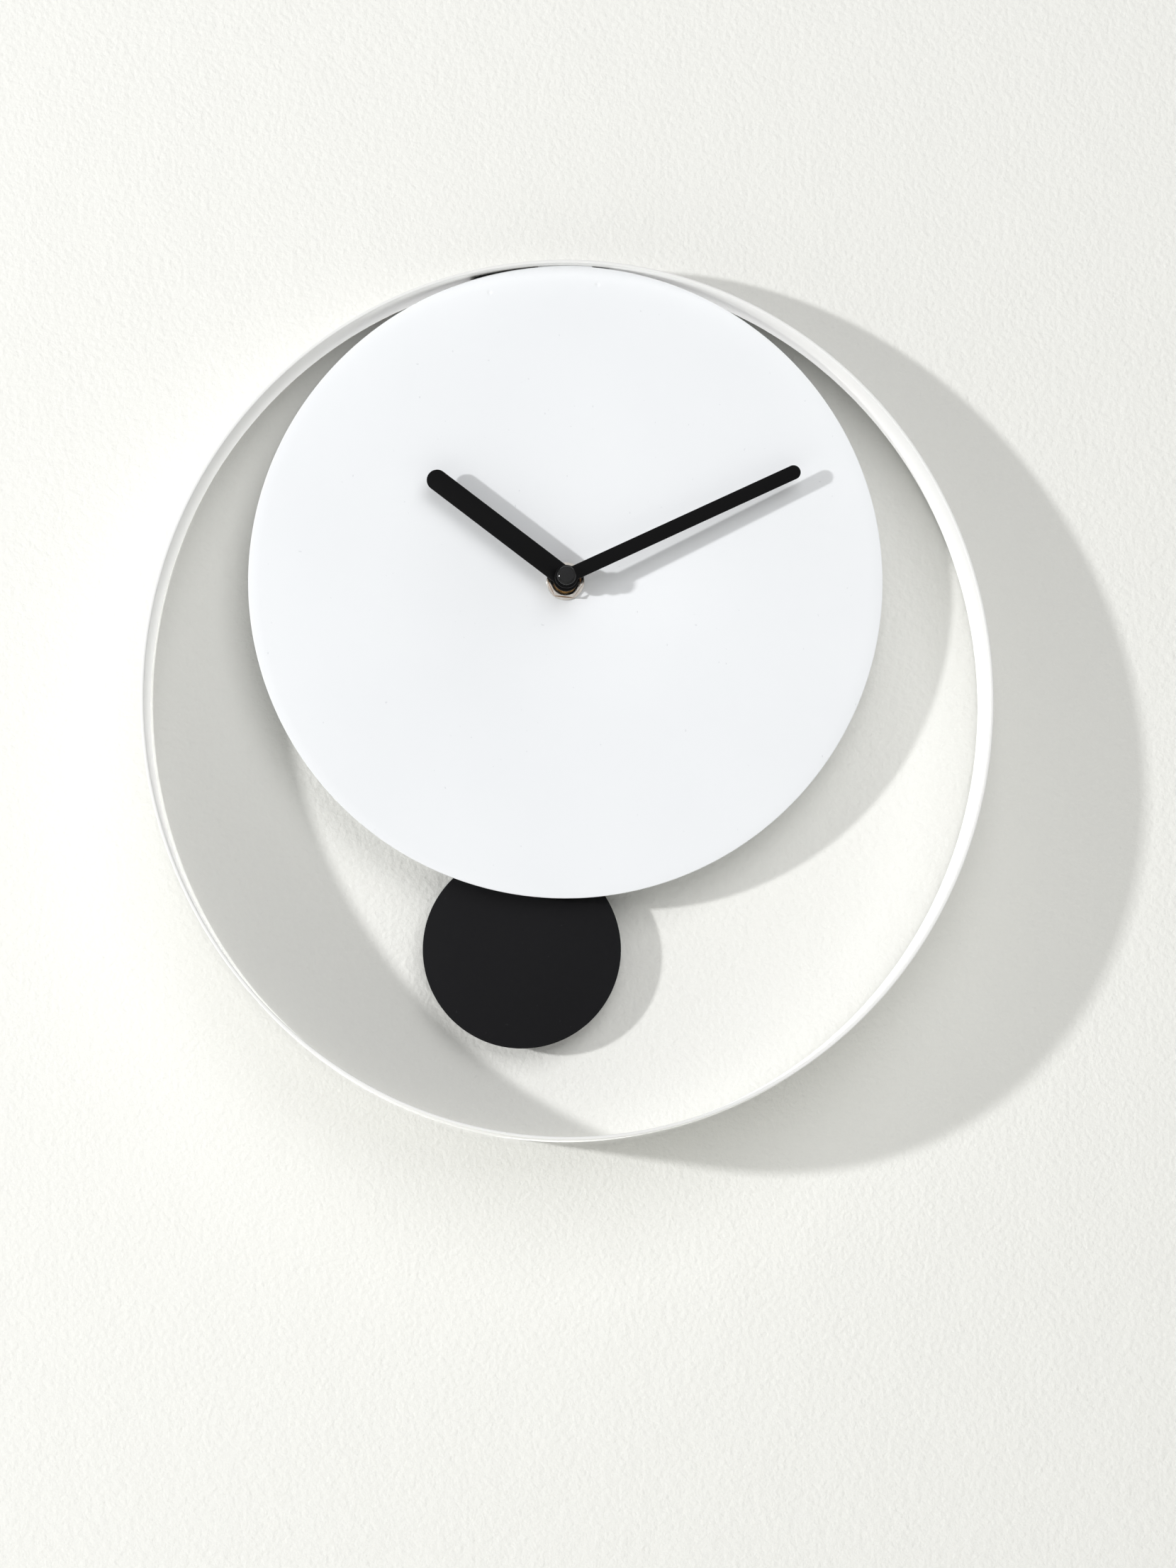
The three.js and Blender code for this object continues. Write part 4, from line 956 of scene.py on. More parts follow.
def rivet_shape(side):
    """A dome-headed rivet with its tail set under the lug."""
    box = extent(f"hoop_rivet_{side}")
    radius = box.half_width
    tail = under_hoop(box.middle_x, LUG_GAP + LUG_SHEET) - 0.1
    shape = turned(
        [
            (0, box.bottom),
            (0.62 * radius, box.bottom),
            (0.8 * radius, box.bottom + 0.45 * RIVET_HEAD),
            (0.8 * radius, tail),
            (RIVET_SHANK, tail),
            (RIVET_SHANK, box.top - RIVET_HEAD),
            (radius, box.top - RIVET_HEAD),
            (0.97 * radius, box.top - 0.62 * RIVET_HEAD),
            (0.82 * radius, box.top - 0.3 * RIVET_HEAD),
            (0.55 * radius, box.top - 0.09 * RIVET_HEAD),
            (0.2 * radius, box.top),
            (0, box.top),
        ],
        SMALL_FACETS,
    )
    return moved(shape, placed((box.middle_x, 0, box.middle_z), -QUARTER, "X"))


def weld_mark(shape, at, width, depth, front):
    """Presses a shallow dimple into the dial's face, in front of a weld stud."""
    near = [
        face
        for face in shape.faces
        if face.normal.z > 0.99 and (face.calc_center_median().xy - at).length < 1.1 * width
    ]
    edges = list({edge for face in near for edge in face.edges})
    bmesh.ops.subdivide_edges(shape, edges=edges, cuts=15, use_grid_fill=True)
    for vert in shape.verts:
        reach = (vert.co.xy - at).length / (width / 2)
        if reach < 1 and abs(vert.co.z - front) < 1e-3:
            vert.co.z -= depth * (0.5 + 0.5 * math.cos(math.pi * reach))


def dial_shape(settings):
    """A flat disc with a bored centre and a lug folded back under the hoop."""
    box = extent("dial_disc")
    radius = box.half_width
    back = box.front - settings.sheet / MM
    bore = BUSH_RADIUS + RUNNING_GAP
    width = settings.mark_width / MM
    ring = (STUDS["left"] - HUB).length
    shape = turned(
        [
            (bore, back),
            (radius, back),
            (radius, box.front),
            (ring + 0.8 * width, box.front),
            (ring - 0.8 * width, box.front),
            (bore, box.front),
        ],
        DIAL_FACETS,
    )
    soften(shape, settings.edge / MM, 3)
    moved(shape, TO_HUB)
    half = LUG_WIDTH / 2
    lug = block(-half, half, -LUG_SHEET, 0, box.back, box.front - 0.2)
    soften(lug, 2.5, 6, where=lambda middle, way: abs(way.y) > 0.9 and middle.z < back - 1)
    soften(lug, 0.2, 2, where=lambda middle, way: middle.z < back)
    crossing = [edge for edge in lug.edges if abs(edge.verts[0].co.x - edge.verts[1].co.x) > half]
    bmesh.ops.subdivide_edges(lug, edges=crossing, cuts=12)
    for vert in lug.verts:
        vert.co.y += under_hoop(vert.co.x, LUG_GAP)
    shape = cut(joined(shape, lug), *rivet_holes(RIVET_SHANK + RUNNING_GAP))
    for at in STUDS.values():
        weld_mark(shape, at, width, settings.mark_depth / MM, box.front)
    return shape


class CLOCK_OT_hoop(bpy.types.Operator):
    """Builds the hoop and the two rivets that hold the dial's lug to it"""

    bl_idname = "wall_clock.hoop"
    bl_label = "Hoop"

    def execute(self, context):
        settings = context.scene.wall_clock
        paint = hoop_paint(settings)
        strip = hoop_shape(settings.hoop)
        piece("hoop_strip", strip, [paint], "clock", "ring_hoop")
        for side in SIDES:
            rivet, shape = f"hoop_rivet_{side}", rivet_shape(side)
            piece(f"dial_rivet_{side}", shape, [paint], "clock", rivet)
        return {"FINISHED"}


class CLOCK_OT_dial(bpy.types.Operator):
    """Builds the dial with its lug and its two weld marks"""

    bl_idname = "wall_clock.dial"
    bl_label = "Dial"

    def execute(self, context):
        settings = context.scene.wall_clock
        plate = dial_shape(settings.dial)
        piece("dial_plate", plate, [dial_paint(settings)], "clock", "dial_disc")
        return {"FINISHED"}


# ---------------------------------------------------------------- hanger


def bracket_shape():
    """A bent channel that follows the hoop's top, with a notch for the lug, a keyhole and stud
    holes."""
    box = extent("hanger_bracket")
    crown = under_hoop(0, REST_GAP)
    shape = bmesh.new()
    foot, front, back = box.bottom, box.front, box.back
    corners = [(foot, front), (crown, front), (crown, back), (foot, back)]
    outline = [shape.verts.new((box.left, y, z)) for y, z in corners]
    edges = [shape.edges.new(pair) for pair in zip(outline, outline[1:])]
    step = (box.right - box.left) / BRACKET_STATIONS
    for _ in range(BRACKET_STATIONS):
        made = bmesh.ops.extrude_edge_only(shape, edges=edges)["geom"]
        verts = [part for part in made if isinstance(part, bmesh.types.BMVert)]
        edges = [part for part in made if isinstance(part, bmesh.types.BMEdge)]
        bmesh.ops.translate(shape, verts=verts, vec=(step, 0, 0))
    soften(shape, BRACKET_BEND, 5, where=along_x)
    for vert in shape.verts:
        if vert.co.y > box.bottom + 1:
            vert.co.y -= crown - under_hoop(vert.co.x, REST_GAP)
    bmesh.ops.recalc_face_normals(shape, faces=shape.faces)
    upper = max(shape.faces, key=lambda face: face.calc_center_median().y)
    if upper.normal.y < 0:
        bmesh.ops.reverse_faces(shape, faces=shape.faces)
    bmesh.ops.solidify(shape, geom=shape.faces, thickness=BRACKET_SHEET)
    bmesh.ops.recalc_face_normals(shape, faces=shape.faces)
    lug = extent("dial_disc")
    rivet = extent("hoop_rivet_left")
    side = LUG_WIDTH / 2 + 1
    notch = block(-side, side, rivet.bottom - 1, crown + 1, lug.back - 1, lug.front)
    soften(notch, 1.5, 4, where=along_z)
    hole = STUD_RADIUS + RUNNING_GAP
    studs = [bar(hole, box.front - 3, box.front + 3, at) for at in STUDS.values()]
    depth = (-1, BRACKET_SHEET + 1)
    half = KEYHOLE_SLOT / 2
    keyhole = joined(
        bar(KEYHOLE_RADIUS, *depth, (0, -KEYHOLE_RISE)),
        bar(half, *depth, (0, -half)),
        block(-half, half, -KEYHOLE_RISE, -half, *depth),
    )
    return cut(shape, notch, *studs, keyhole)


def stud_shape(side):
    """A threaded weld stud with a short plain root."""
    box = extent(f"weld_stud_{side}")
    shape = turned(
        [
            (0, box.back),
            (STUD_RADIUS - 0.4, box.back),
            *thread(STUD_RADIUS, STUD_THREAD, box.back + 0.2, box.front - 0.8),
            (STUD_RADIUS, box.front - 0.6),
            (STUD_RADIUS, box.front),
            (0, box.front),
        ],
        SMALL_FACETS,
    )
    return moved(shape, placed((*STUDS[side], 0)))


def stud_nut_shape(side):
    box = extent(f"stud_nut_{side}")
    bore = STUD_RADIUS + RUNNING_GAP
    shape = hexagon_nut(STUD_NUT_FLATS, bore, STUD_NUT_SINK, box.back, box.front)
    return moved(shape, placed((*STUDS[side], 0)))


class CLOCK_OT_hanger(bpy.types.Operator):
    """Builds the hanger bracket, its two studs and their nuts"""

    bl_idname = "wall_clock.hanger"
    bl_label = "Hanger"

    def execute(self, context):
        paint, channel = bracket_paint(), bracket_shape()
        piece("hanger_channel", channel, [paint], "clock", "hanger_bracket")
        for side in SIDES:
            node_name, shape = f"weld_stud_{side}", stud_shape(side)
            piece(f"threaded_stud_{side}", shape, [steel()], "clock", node_name)
            node_name, shape = f"stud_nut_{side}", stud_nut_shape(side)
            piece(f"bracket_nut_{side}", shape, [steel()] * 2, "clock", node_name)
        return {"FINISHED"}


# ---------------------------------------------------------------- shaft stack and hands


def washer_shape():
    box = extent("dial_washer")
    bore = BUSH_RADIUS + RUNNING_GAP
    radius = box.half_width
    shape = turned([(bore, box.back), (radius, box.back), (radius, box.front), (bore, box.front)])
    return moved(soften(shape, 0.12, 3), TO_HUB)


def bush_shape():
    """A flanged bush whose outside is threaded for the nut."""
    box = extent("threaded_bush")
    flange = box.half_width
    step = box.back + BUSH_FLANGE
    plain = extent("dial_disc").front - 2
    shape = turned(
        [
            (BUSH_BORE, box.back),
            (flange, box.back),
            (flange, step),
            (BUSH_RADIUS, step),
            (BUSH_RADIUS, plain),
            *thread(BUSH_RADIUS, BUSH_THREAD, plain, box.front - BUSH_LEAD),
            (BUSH_RADIUS - BUSH_LEAD, box.front),
            (BUSH_BORE + 0.15, box.front),
            (BUSH_BORE, box.front - 0.15),
        ]
    )
    return moved(shape, TO_HUB)


def hand_shape(hand, bore, collar, fall, settings):
    """A parallel strip with a round tip on a round hub, over the collar that grips its arbor."""
    box = extent(f"{hand}_hand")
    span, width, hub = (
        getattr(settings, f"{hand}_{part}") / MM for part in ("length", "width", "hub")
    )
    back = box.front - settings.sheet / MM
    disc = turned(
        [
            (bore, box.back),
            (collar, box.back),
            (collar, back),
            (hub, back),
            (hub, box.front),
            (bore, box.front),
        ]
    )
    arm = block(-width / 2, width / 2, bore + 0.4, span, back, box.front)

    def tip(middle, way):
        return along_z(middle, way) and middle.y > span - 1

    soften(arm, 0.499 * width, 20, where=tip)
    shape = flattened(joined(disc, arm))
    soften(shape, settings.edge / MM, 2, where=lambda middle, way: middle.z > back - 0.01)
    for vert in shape.verts:
        if vert.co.y > 0 and vert.co.z > back - 0.01:
            vert.co.z -= math.tan(fall) * vert.co.y
    return moved(shape, placed((*HUB, 0), -getattr(settings, f"{hand}_bearing")))


def cap_shape(settings):
    """A moulded cap with a flat face, a polished bevel round it and a blind bore behind."""
    box = extent("hand_cap")
    radius = box.half_width
    bore = SHAFT_RADIUS + RUNNING_GAP
    blind = box.back + CAP_BORE
    bevel = settings.cap_edge / MM
    shape = turned(
        [
            (0, blind),
            (bore, blind),
            (bore, box.back),
            (radius, box.back),
            (radius, box.front - 0.9 * bevel),
            (radius - 0.3 * bevel, box.front - 0.44 * bevel),
            (radius - bevel, box.front),
            (0, box.front),
        ]
    )
    soften(shape, 0.12, 3, sharper=12, where=lambda middle, way: middle.z > box.front - bevel)
    soften(shape, 0.15, 2, where=lambda middle, way: middle.z < box.back + 0.01)
    for face in shape.faces:
        if face.calc_center_median().z > box.front - 0.01:
            face.material_index = 1
    return moved(shape, TO_HUB)


class CLOCK_OT_shaft_stack(bpy.types.Operator):
    """Builds the washer, the nut and the threaded bush that clamp the movement to the dial"""

    bl_idname = "wall_clock.shaft_stack"
    bl_label = "Shaft stack"

    def execute(self, context):
        box, bore = extent("hex_nut"), BUSH_RADIUS + RUNNING_GAP
        nut = moved(hexagon_nut(NUT_FLATS, bore, NUT_SINK, box.back, box.front, NUT_TURN), TO_HUB)
        piece("bush_washer", washer_shape(), [nickel()], "clock", "dial_washer")
        piece("bush_nut", nut, [nickel(), brass()], "clock", "hex_nut")
        piece("dial_bush", bush_shape(), [brass()], "clock", "threaded_bush")
        coat_nodes(rubber(), "dial_gasket")
        return {"FINISHED"}


class CLOCK_OT_hands(bpy.types.Operator):
    """Builds the hour hand, the minute hand and the cap"""

    bl_idname = "wall_clock.hands"
    bl_label = "Hands"

    def execute(self, context):
        settings = context.scene.wall_clock
        hands = settings.hands
        lacquer = hand_lacquer(settings)
        bore = SHAFT_RADIUS + RUNNING_GAP
        hour = hand_shape("hour", bore + HOUR_TUBE_WALL + RUNNING_GAP, HOUR_COLLAR, 0, hands)
        minute = hand_shape("minute", bore, MINUTE_COLLAR, hands.minute_fall, hands)
        cap, plastics = cap_shape(hands), cap_plastics(settings)
        piece("hour_pointer", hour, [lacquer], "hour_train", "hour_hand")
        piece("minute_pointer", minute, [lacquer], "minute_train", "minute_hand")
        piece("shaft_cap", cap, plastics, "minute_train", "hand_cap")
        return {"FINISHED"}


# ---------------------------------------------------------------- movement


def rounded_slab(box, corner, edge):
    """A block with rounded upright corners and softened faces."""
    shape = soften(block(*box), corner, 5, where=along_z)
    return soften(shape, edge, 3, sharper=70)


def case_shape(settings):
    """The case: gear room, cell bay and swing room open to the back, with a boss for the
    pendulum's pin."""
    box = extent("movement_case")
    plate = extent("mid_plate")
    inner = box.front - CASE_FRONT
    half = box.right - CASE_WALL
    gears_bottom, gears_top = plate.bottom - REST_GAP, plate.top + REST_GAP
    bay_bottom, bay_top = gears_top + PARTITION, box.top - CASE_WALL / 2
    floor, swing_top = box.bottom + CASE_WALL, gears_bottom - LOWER_PARTITION
    shape = rounded_slab(box, CASE_CORNER, settings.edge / MM)
    rooms = [(gears_bottom, gears_top), (bay_bottom, bay_top), (floor, swing_top)]
    for bottom, top in rooms:
        room = block(-half, half, bottom, top, 0, inner)
        shape = cut(shape, soften(room, 0.5, 3, where=along_z))
    mouth = block(-SWING_MOUTH / 2, SWING_MOUTH / 2, box.bottom - 1, floor + 1, 0, inner)
    shape = cut(shape, mouth, bar(BUSH_RADIUS + RUNNING_GAP, 0, box.front + 1, HUB))
    lever = extent("pendulum_lever")
    boss_back = lever.back + LEVER_SHEET + REST_GAP
    boss = bar(PIN_RADIUS + RUNNING_GAP + BOSS_WALL, boss_back, inner + CASE_FRONT / 2, PIVOT)
    shape = joined(shape, boss)
    return flattened(cut(shape, bar(PIN_RADIUS + RUNNING_GAP, 0, inner, PIVOT)))


def cover_shape(node_name, hole, at):
    """A flat cover with a rim round its hole and a shallow panel sunk into its outside."""
    box = extent(node_name)
    panel = block(
        box.left + PANEL_MARGIN,
        box.right - PANEL_MARGIN,
        box.bottom + PANEL_MARGIN,
        box.top - PANEL_MARGIN,
        box.back - 1,
        box.back + PANEL_SINK,
    )
    soften(panel, 2, 5, where=along_z)
    rim = bar(hole + RIM_WIDTH, box.back + 0.02, box.back + RIM_DEPTH, at, ROUND_FACETS)
    shape = joined(cut(rounded_slab(box, 1, 0.3), panel), rim)
    return flattened(cut(shape, bar(hole, box.back - 1, box.front + 1, at, ROUND_FACETS)))


def knob_shape(settings):
    """A ridged thumb wheel with a dished back."""
    box = extent("setting_knob")
    radius = box.half_width
    shape = bar(radius, box.back, box.front, facets=8 * settings.ridges)
    for vert in shape.verts:
        turn = math.atan2(vert.co.y, vert.co.x)
        grip = KNOB_RIDGE * (0.5 - 0.5 * math.cos(settings.ridges * turn))
        vert.co.xy *= (radius - grip) / radius
    back = min(shape.faces, key=lambda face: face.calc_center_median().z)
    for inset, rise in KNOB_DISH:
        bmesh.ops.inset_region(shape, faces=[back], thickness=inset, depth=0)
        bmesh.ops.translate(shape, verts=back.verts, vec=(0, 0, rise))
    soften(shape, 0.2, 2, sharper=60, where=lambda middle, way: abs(way.z) < 0.5)
    shape = cut(shape, bar(SHAFT_RADIUS + RUNNING_GAP, box.back + KNOB_CORE, box.front + 1))
    return moved(shape, TO_HUB)


def battery_shape():
    """A dry cell: jacketed can, crimped ends and a nub at the positive end. The steel ends take the
    second material."""
    box = extent("battery")
    radius = box.half_height
    start, end = box.left, box.right - BATTERY_NUB
    shape = turned(
        [
            (0, start + 0.25),
            (radius - 2.6, start + 0.25),
            (radius - 2.2, start),
            (radius - 1.2, start),
            (radius - 1.0, start + 0.3),
            (radius - 0.75, start + 0.05),
            (radius - 0.25, start + 0.15),
            (radius, start + 0.6),
            (radius, end - 0.6),
            (radius - 0.25, end - 0.15),
            (radius - 0.75, end - 0.05),
            (radius - 1.0, end - 0.35),
            (BATTERY_NUB_RADIUS + 0.5, end - 0.2),
            (BATTERY_NUB_RADIUS + 0.1, end),
            (BATTERY_NUB_RADIUS, end + BATTERY_NUB - 0.3),
            (BATTERY_NUB_RADIUS - 0.35, end + BATTERY_NUB),
            (0, end + BATTERY_NUB),
        ]
    )
    for face in shape.faces:
        if face.calc_center_median().xy.length < radius - BATTERY_CRIMP:
            face.material_index = 1
    return moved(shape, placed((0, box.middle_y, box.middle_z), QUARTER, "Y"))


def positive_contact_shape():
    """A strip against the case's end wall, with a pressed dome that meets the cell's nub."""
    box = extent("contact_positive")
    inner = box.right - CONTACT_SHEET
    strip = block(inner, box.right, box.bottom, box.top, box.back, box.front)
    soften(strip, 1, 4, where=along_x)
    reach = inner - box.left
    profile = [
        (0, -0.1), (2.4, -0.1), (2.2, 0.4 * reach), (1.6, 0.85 * reach), (0.8, reach), (0, reach)
    ]
    lay = placed((inner, box.middle_y, box.middle_z), -QUARTER, "Y")
    return joined(strip, moved(turned(profile), lay))


class CLOCK_OT_movement(bpy.types.Operator):
    """Builds the movement's case, covers, knob, cell and contacts"""

    bl_idname = "wall_clock.movement"
    bl_label = "Movement"

    def execute(self, context):
        settings = context.scene.wall_clock
        plastic, spring = case_plastic(settings), spring_nickel()
        case, knob = case_shape(settings.movement), knob_shape(settings.movement)
        back = cover_shape("back_cover", extent("setting_knob").half_width + REST_GAP, HUB)
        lower = cover_shape("pendulum_cover", PIN_RADIUS + RUNNING_GAP, PIVOT)
        cell, jacket = battery_shape(), film(settings)
        contact = positive_contact_shape()
        piece("case_moulding", case, [plastic], "clock", "movement_case")
        piece("rear_cover", back, [plastic], "clock", "back_cover")
        piece("swing_cover", lower, [plastic], "clock", "pendulum_cover")
        piece("thumb_wheel", knob, [plastic], "minute_train", "setting_knob")
        piece("dry_cell", cell, [jacket, spring], "clock", "battery")
        piece("cell_contact_plus", contact, [spring], "clock", "contact_positive")
        coat_nodes(spring, "contact_negative")
        return {"FINISHED"}


class CLOCK_OT_train(bpy.types.Operator):
    """Gives the wheels, the motor and the board inside the case their finishes"""

    bl_idname = "wall_clock.train"
    bl_label = "Train"

    def execute(self, context):
        wheels = ("center_wheel", "hour_wheel", "minute_wheel", "intermediate_wheel")
        coat_nodes(gear_plastic(), "mid_plate", *wheels)
        coat_nodes(brass(), "cannon_pinion")
        coat_nodes(steel(), "minute_arbor", "stator", "coil_core", "pendulum_pin")
        coat_nodes(magnet(), "rotor", "pendulum_magnet")
        coat_nodes(copper(), "motor_coil", "drive_coil")
        coat_nodes(board(), "circuit_board")
        coat_nodes(resin(), "clock_chip")
        coat_nodes(spring_nickel(), "quartz_crystal")
        return {"FINISHED"}


# ---------------------------------------------------------------- pendulum


def bob_shape(settings):
    """The swinging disc, below the pivot."""
    box = extent("bob_disc")
    radius = settings.bob_radius / MM
    profile = [(0, box.back), (radius, box.back), (radius, box.front), (0, box.front)]
    shape = soften(turned(profile, BOB_FACETS), settings.edge / MM, 3)
    return moved(shape, TO_PENDULUM @ Matrix.Translation((0, -settings.length / MM, 0)))


def lever_length():
    """From the pivot to the lever's lower end, which the box of the turned lever gives."""
    box = extent("pendulum_lever")
    lean = abs(SWING_AT_REST)
    return (PIVOT.y - box.bottom - LEVER_WIDTH / 2 * math.sin(lean)) / math.cos(lean)


def lever_shape():
    """A flat arm with a round hub, a pad behind its magnet and a thick tip that takes the rod."""
    box = extent("pendulum_lever")
    rod = extent("pendulum_rod")
    back, front = box.back, box.back + LEVER_SHEET
    span = lever_length()
    half = LEVER_WIDTH / 2
    arm = soften(block(-half, half, -span, 0, back, front), LEVER_EDGE, 2)
    hub = soften(bar(LEVER_HUB, back, front), LEVER_EDGE, 2)
    pad = soften(bar(LEVER_PAD, back, front, (0, -SWING_MAGNET_REACH)), LEVER_EDGE, 2)
    socket = block(-half, half, -span, -span + ROD_HOOK + SOCKET_WALL, back, box.front)
    shape = joined(arm, hub, pad, soften(socket, 0.4, 3))
    tube = bar(rod.half_depth + RUNNING_GAP, -ROD_HOOK - REST_GAP, ROD_HOOK + REST_GAP)
    moved(tube, placed((0, -span, rod.middle_z), QUARTER, "X"))
    shape = cut(shape, bar(PIN_RADIUS + RUNNING_GAP, back - 1, front + 1), tube)
    return moved(shape, TO_PENDULUM)


def rod_shape(settings):
    """A straight wire with chamfered ends, from the lever's tip to the disc's clip."""
    box = extent("pendulum_rod")
    radius = box.half_depth
    low = -settings.length / MM + REST_GAP
    high = ROD_HOOK - lever_length()
    tip = radius - ROD_LEAD
    profile = [
        (0, low),
        (tip, low),
        (radius, low + ROD_LEAD),
        (radius, high - ROD_LEAD),
        (tip, high),
        (0, high),
    ]
    lay = TO_PENDULUM @ placed((0, 0, box.middle_z), -QUARTER, "X")
    return moved(turned(profile, SMALL_FACETS), lay)


def clip_shape(settings):
    """The moulded sleeve on the back of the disc that the rod pushes into."""
    box = extent("bob_clip")
    rod = extent("pendulum_rod")
    half = CLIP_WIDTH / 2
    bottom = -settings.length / MM - CLIP_WALL
    shape = block(-half, half, bottom, bottom + CLIP_HEIGHT, box.back, box.front)
    soften(shape, 1, 5, where=along_z)
    soften(shape, 0.5, 3, where=lambda middle, way: middle.z < box.back + 0.01)
    tube = bar(rod.half_depth + RUNNING_GAP, bottom + CLIP_WALL, bottom + CLIP_HEIGHT + 1)
    moved(tube, placed((0, 0, rod.middle_z), -QUARTER, "X"))
    return moved(cut(shape, tube), TO_PENDULUM)


class CLOCK_OT_pendulum(bpy.types.Operator):
    """Builds the swinging disc, its clip, the rod and the lever"""

    bl_idname = "wall_clock.pendulum"
    bl_label = "Pendulum"

    def execute(self, context):
        settings = context.scene.wall_clock
        bob = settings.pendulum
        plastic, paint = case_plastic(settings), bob_paint(settings)
        lever, acetal = lever_shape(), gear_plastic()
        piece("pendulum_bob", bob_shape(bob), [paint], "pendulum", "bob_disc")
        piece("bob_sleeve", clip_shape(bob), [plastic], "pendulum", "bob_clip")
        piece("swing_rod", rod_shape(bob), [steel()], "pendulum", "pendulum_rod")
        piece("swing_lever", lever, [acetal], "pendulum", "pendulum_lever")
        return {"FINISHED"}


# ---------------------------------------------------------------- stage

# Metres from the keyhole's top, in the room's axes
CAMERA_PLACE = (-0.0512, -1.653, -0.369)
CAMERA_TILT = math.radians(1.5)
CAMERA_SHIFT = (0.0948, 0.2)  # shares of the picture's height
SENSOR_WIDTH = 36  # millimetres
KEY_PLACE = (-2.26, -1.56, -0.01)
FILL_PLACE = (0.6, -2.9, 1.2)
FILL_SIZE = 2.4
BACK_PLACE = (0, 4, -0.165)
BACK_SIZE = 1.5
WALL_GAP = 0.0002  # behind the clock, so that no face lies in the wall
WALL_HEIGHT = 3  # above the keyhole
FLOOR_DROP = 1.5  # below it
ROOM_REACH = 4  # to each side, and forwards
ROOM_BEND = 0.4  # radius between the wall and the floor
HANG_ANGLE = math.radians(0.36)  # between the wall and the clock, whose foot stands off the wall
FIRST_HIT = 1.5  # between the ray depth of what is seen directly and that of a bounce


def even_light(settings):
    """The same plain light from everywhere. The camera and reflections see a pale backdrop
    there."""
    world = bpy.data.worlds.new("studio")
    world.use_nodes = True
    tree = world.node_tree
    tree.nodes.clear()
    path = node(tree, "LightPath").outputs
    seen = node(
        tree, "Math", {0: path["Is Camera Ray"], 1: path["Is Glossy Ray"]}, operation="MAXIMUM"
    )
    seen = node(tree, "Math", {0: seen, 1: path["Is Transmission Ray"]}, operation="MAXIMUM")
    levels = {"Value": seen, "To Min": settings.ambient, "To Max": settings.backdrop}
    strength = node(tree, "MapRange", levels)
    light = node(tree, "Background", {"Color": (1, 1, 1, 1), "Strength": strength})
    node(tree, "OutputWorld", {"Surface": light})
    bpy.context.scene.world = world


def square_lamp(name, place, size, share):
    """A square lamp aimed at the clock. A white sheet flat on the wall returns that share of
    white."""
    middle = sum(cad_bounds, Vector()) / 2
    lamp = bpy.data.lights.new(name, "AREA")
    lamp.size = size
    thing = bpy.data.objects.new(name, lamp)
    thing.location = place
    away = thing.location - middle
    thing.rotation_euler = (-away).to_track_quat("-Z", "Y").to_euler()
    slant = abs(away.normalized().y)
    lamp.energy = share * math.pi**2 * away.length_squared / slant
    bpy.context.scene.collection.objects.link(thing)
    return thing


def back_light(settings):
    """A weak lamp behind the wall for looking at the clock's back. It lights only the clock, and
    only what is seen directly, so it adds nothing to the wall or to the hoop's inside."""
    thing = square_lamp("back", BACK_PLACE, BACK_SIZE, settings.back)
    thing.data.use_nodes = True
    tree = thing.data.node_tree
    tree.nodes.clear()
    depth = node(tree, "LightPath").outputs["Ray Depth"]
    direct = node(tree, "Math", {0: depth, 1: FIRST_HIT}, operation="LESS_THAN")
    glow = node(tree, "Emission", {"Strength": direct})
    node(tree, "OutputLight", {"Surface": glow})
    clock = bpy.data.collections.new("clock_pieces")
    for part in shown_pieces():
        clock.objects.link(part)
    thing.light_linking.receiver_collection = clock
    thing.light_linking.blocker_collection = clock


def room_shape():
    """A wall that bends into a floor. It leans away from the clock's foot, as a clock on a screw
    hangs."""
    shape = bmesh.new()
    corners = [(0, WALL_HEIGHT), (0, -FLOOR_DROP), (-ROOM_REACH, -FLOOR_DROP)]
    outline = [shape.verts.new((-ROOM_REACH, y, z)) for y, z in corners]
    edges = [shape.edges.new(pair) for pair in zip(outline, outline[1:])]
    made = bmesh.ops.extrude_edge_only(shape, edges=edges)["geom"]
    verts = [part for part in made if isinstance(part, bmesh.types.BMVert)]
    bmesh.ops.translate(shape, verts=verts, vec=(2 * ROOM_REACH, 0, 0))
    soften(shape, ROOM_BEND, 12, where=along_x)
    hinge = Vector((0, 0, cad_bounds[1].z))
    lean = placed(hinge + Vector((0, WALL_GAP, 0)), HANG_ANGLE, "X")
    moved(shape, lean @ Matrix.Translation(-hinge))
    bmesh.ops.recalc_face_normals(shape, faces=shape.faces)
    wall = max(shape.faces, key=lambda face: face.calc_center_median().z)
    if wall.normal.y > 0:
        bmesh.ops.reverse_faces(shape, faces=shape.faces)
    for face in shape.faces:
        face.smooth = True
    return shape


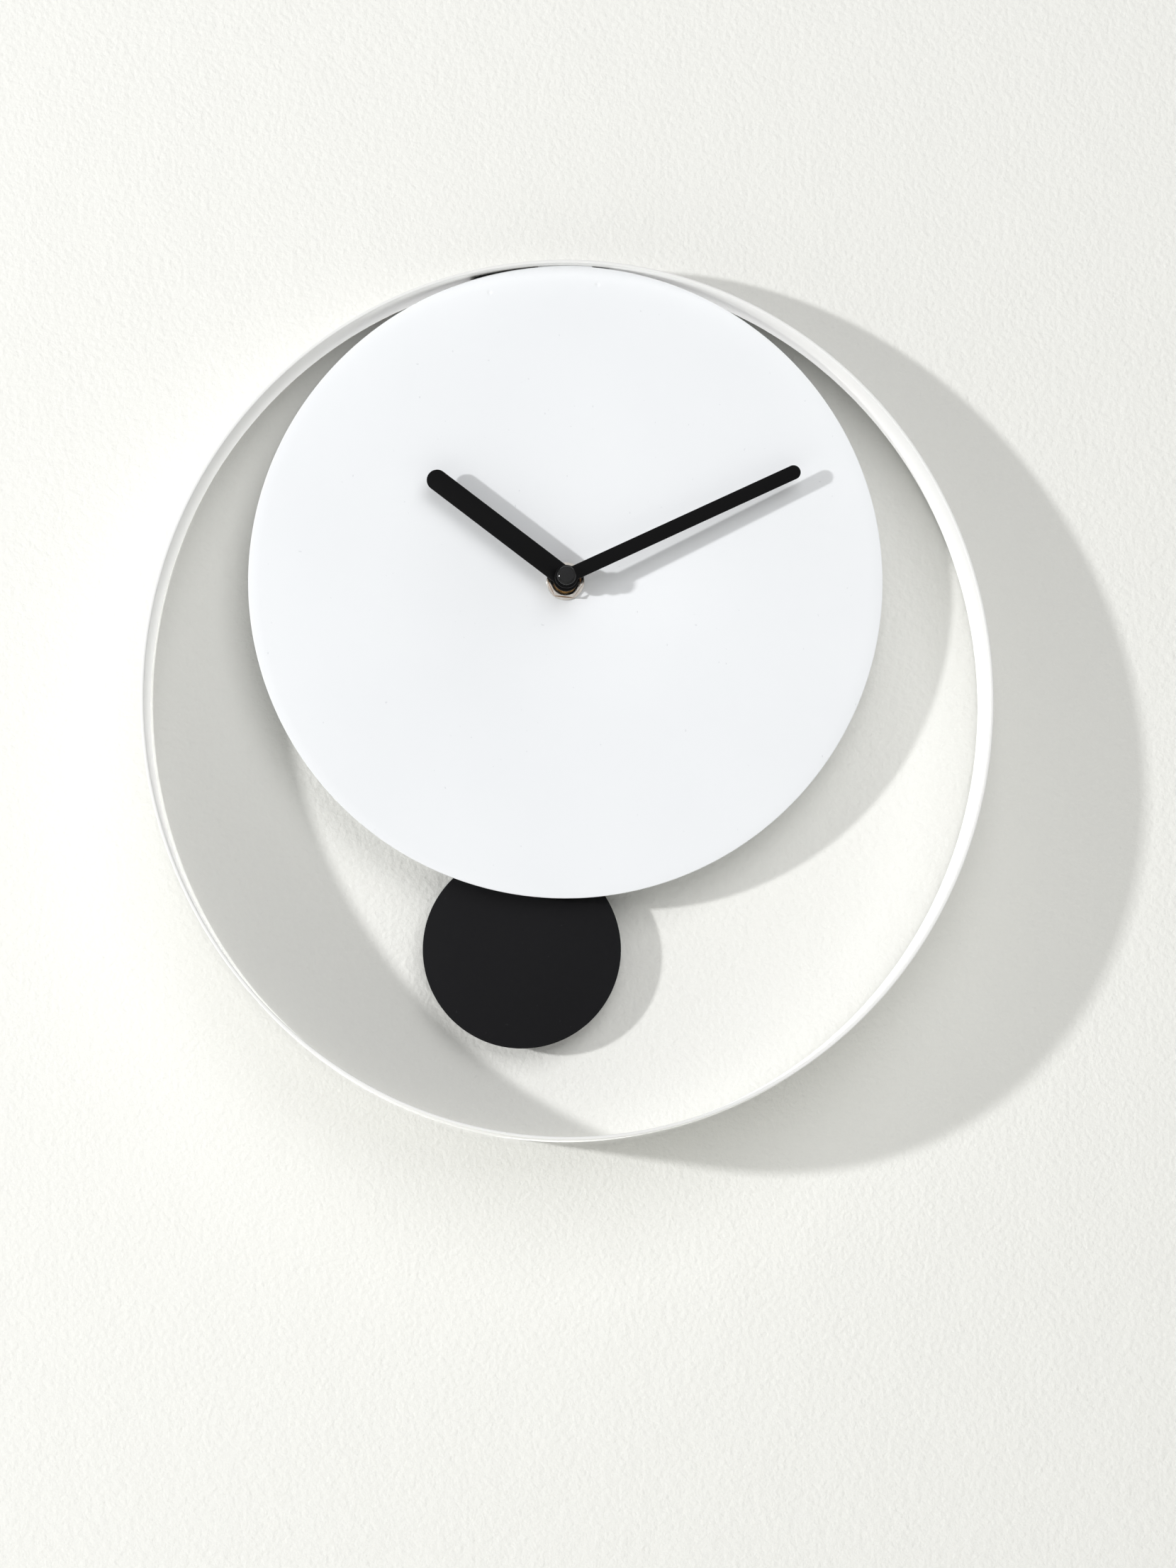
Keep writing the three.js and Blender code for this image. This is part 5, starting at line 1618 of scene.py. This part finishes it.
class CLOCK_OT_stage(bpy.types.Operator):
    """Builds the wall and floor, the lights and the camera"""

    bl_idname = "wall_clock.stage"
    bl_label = "Stage"

    def execute(self, context):
        settings = context.scene.wall_clock.stage
        scene = context.scene
        mesh = bpy.data.meshes.new("wall_and_floor")
        shape = room_shape()
        shape.to_mesh(mesh)
        shape.free()
        mesh.materials.append(plaster(settings))
        wall = bpy.data.objects.new("wall_and_floor", mesh)
        scene.collection.objects.link(wall)
        wall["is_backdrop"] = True
        even_light(settings)
        square_lamp("key", KEY_PLACE, settings.key_size, settings.key)
        fill = square_lamp("fill", FILL_PLACE, FILL_SIZE, settings.fill)
        fill.visible_glossy = False
        # Beside a linked lamp, a lamp that a bounce can also find would be counted twice
        fill.data.cycles.use_multiple_importance_sampling = False
        back_light(settings)
        camera = bpy.data.cameras.new("camera")
        camera.lens = settings.lens
        camera.sensor_width = SENSOR_WIDTH
        camera.shift_x, camera.shift_y = CAMERA_SHIFT
        view = bpy.data.objects.new("camera", camera)
        view.location = CAMERA_PLACE
        view.rotation_euler = (math.pi / 2 + CAMERA_TILT, 0, 0)
        scene.collection.objects.link(view)
        scene.camera = view
        scene.view_settings.view_transform = "Standard"
        return {"FINISHED"}


# ---------------------------------------------------------------- panel and running

OPERATORS = (
    CLOCK_OT_hoop,
    CLOCK_OT_dial,
    CLOCK_OT_hanger,
    CLOCK_OT_shaft_stack,
    CLOCK_OT_hands,
    CLOCK_OT_movement,
    CLOCK_OT_train,
    CLOCK_OT_pendulum,
    CLOCK_OT_stage,
)


class CLOCK_PT_panel(bpy.types.Panel):
    """The clock's sizes, colours and steps"""

    bl_idname = "CLOCK_PT_panel"
    bl_label = "Wall clock"
    bl_space_type = "VIEW_3D"
    bl_region_type = "UI"
    bl_category = "Clock"

    def draw(self, context):
        settings = context.scene.wall_clock
        for group_name in ("hoop", "dial", "hands", "pendulum", "movement", "stage"):
            group = getattr(settings, group_name)
            box = self.layout.box()
            box.label(text=group_name.capitalize())
            for name in group.__annotations__:
                box.prop(group, name)
        for operator in OPERATORS:
            self.layout.operator(operator.bl_idname)


CLASSES = (
    HoopSettings,
    DialSettings,
    HandSettings,
    PendulumSettings,
    MovementSettings,
    StageSettings,
    ClockSettings,
    *OPERATORS,
    CLOCK_PT_panel,
)


def register():
    for kind in CLASSES:
        bpy.utils.register_class(kind)
    bpy.types.Scene.wall_clock = PointerProperty(type=ClockSettings)


def unregister():
    del bpy.types.Scene.wall_clock
    for kind in reversed(CLASSES):
        bpy.utils.unregister_class(kind)


def main():
    register()
    for operator in OPERATORS:
        step = operator.bl_idname.split(".")[1]
        getattr(bpy.ops.wall_clock, step)()


if __name__ == "__main__":
    main()
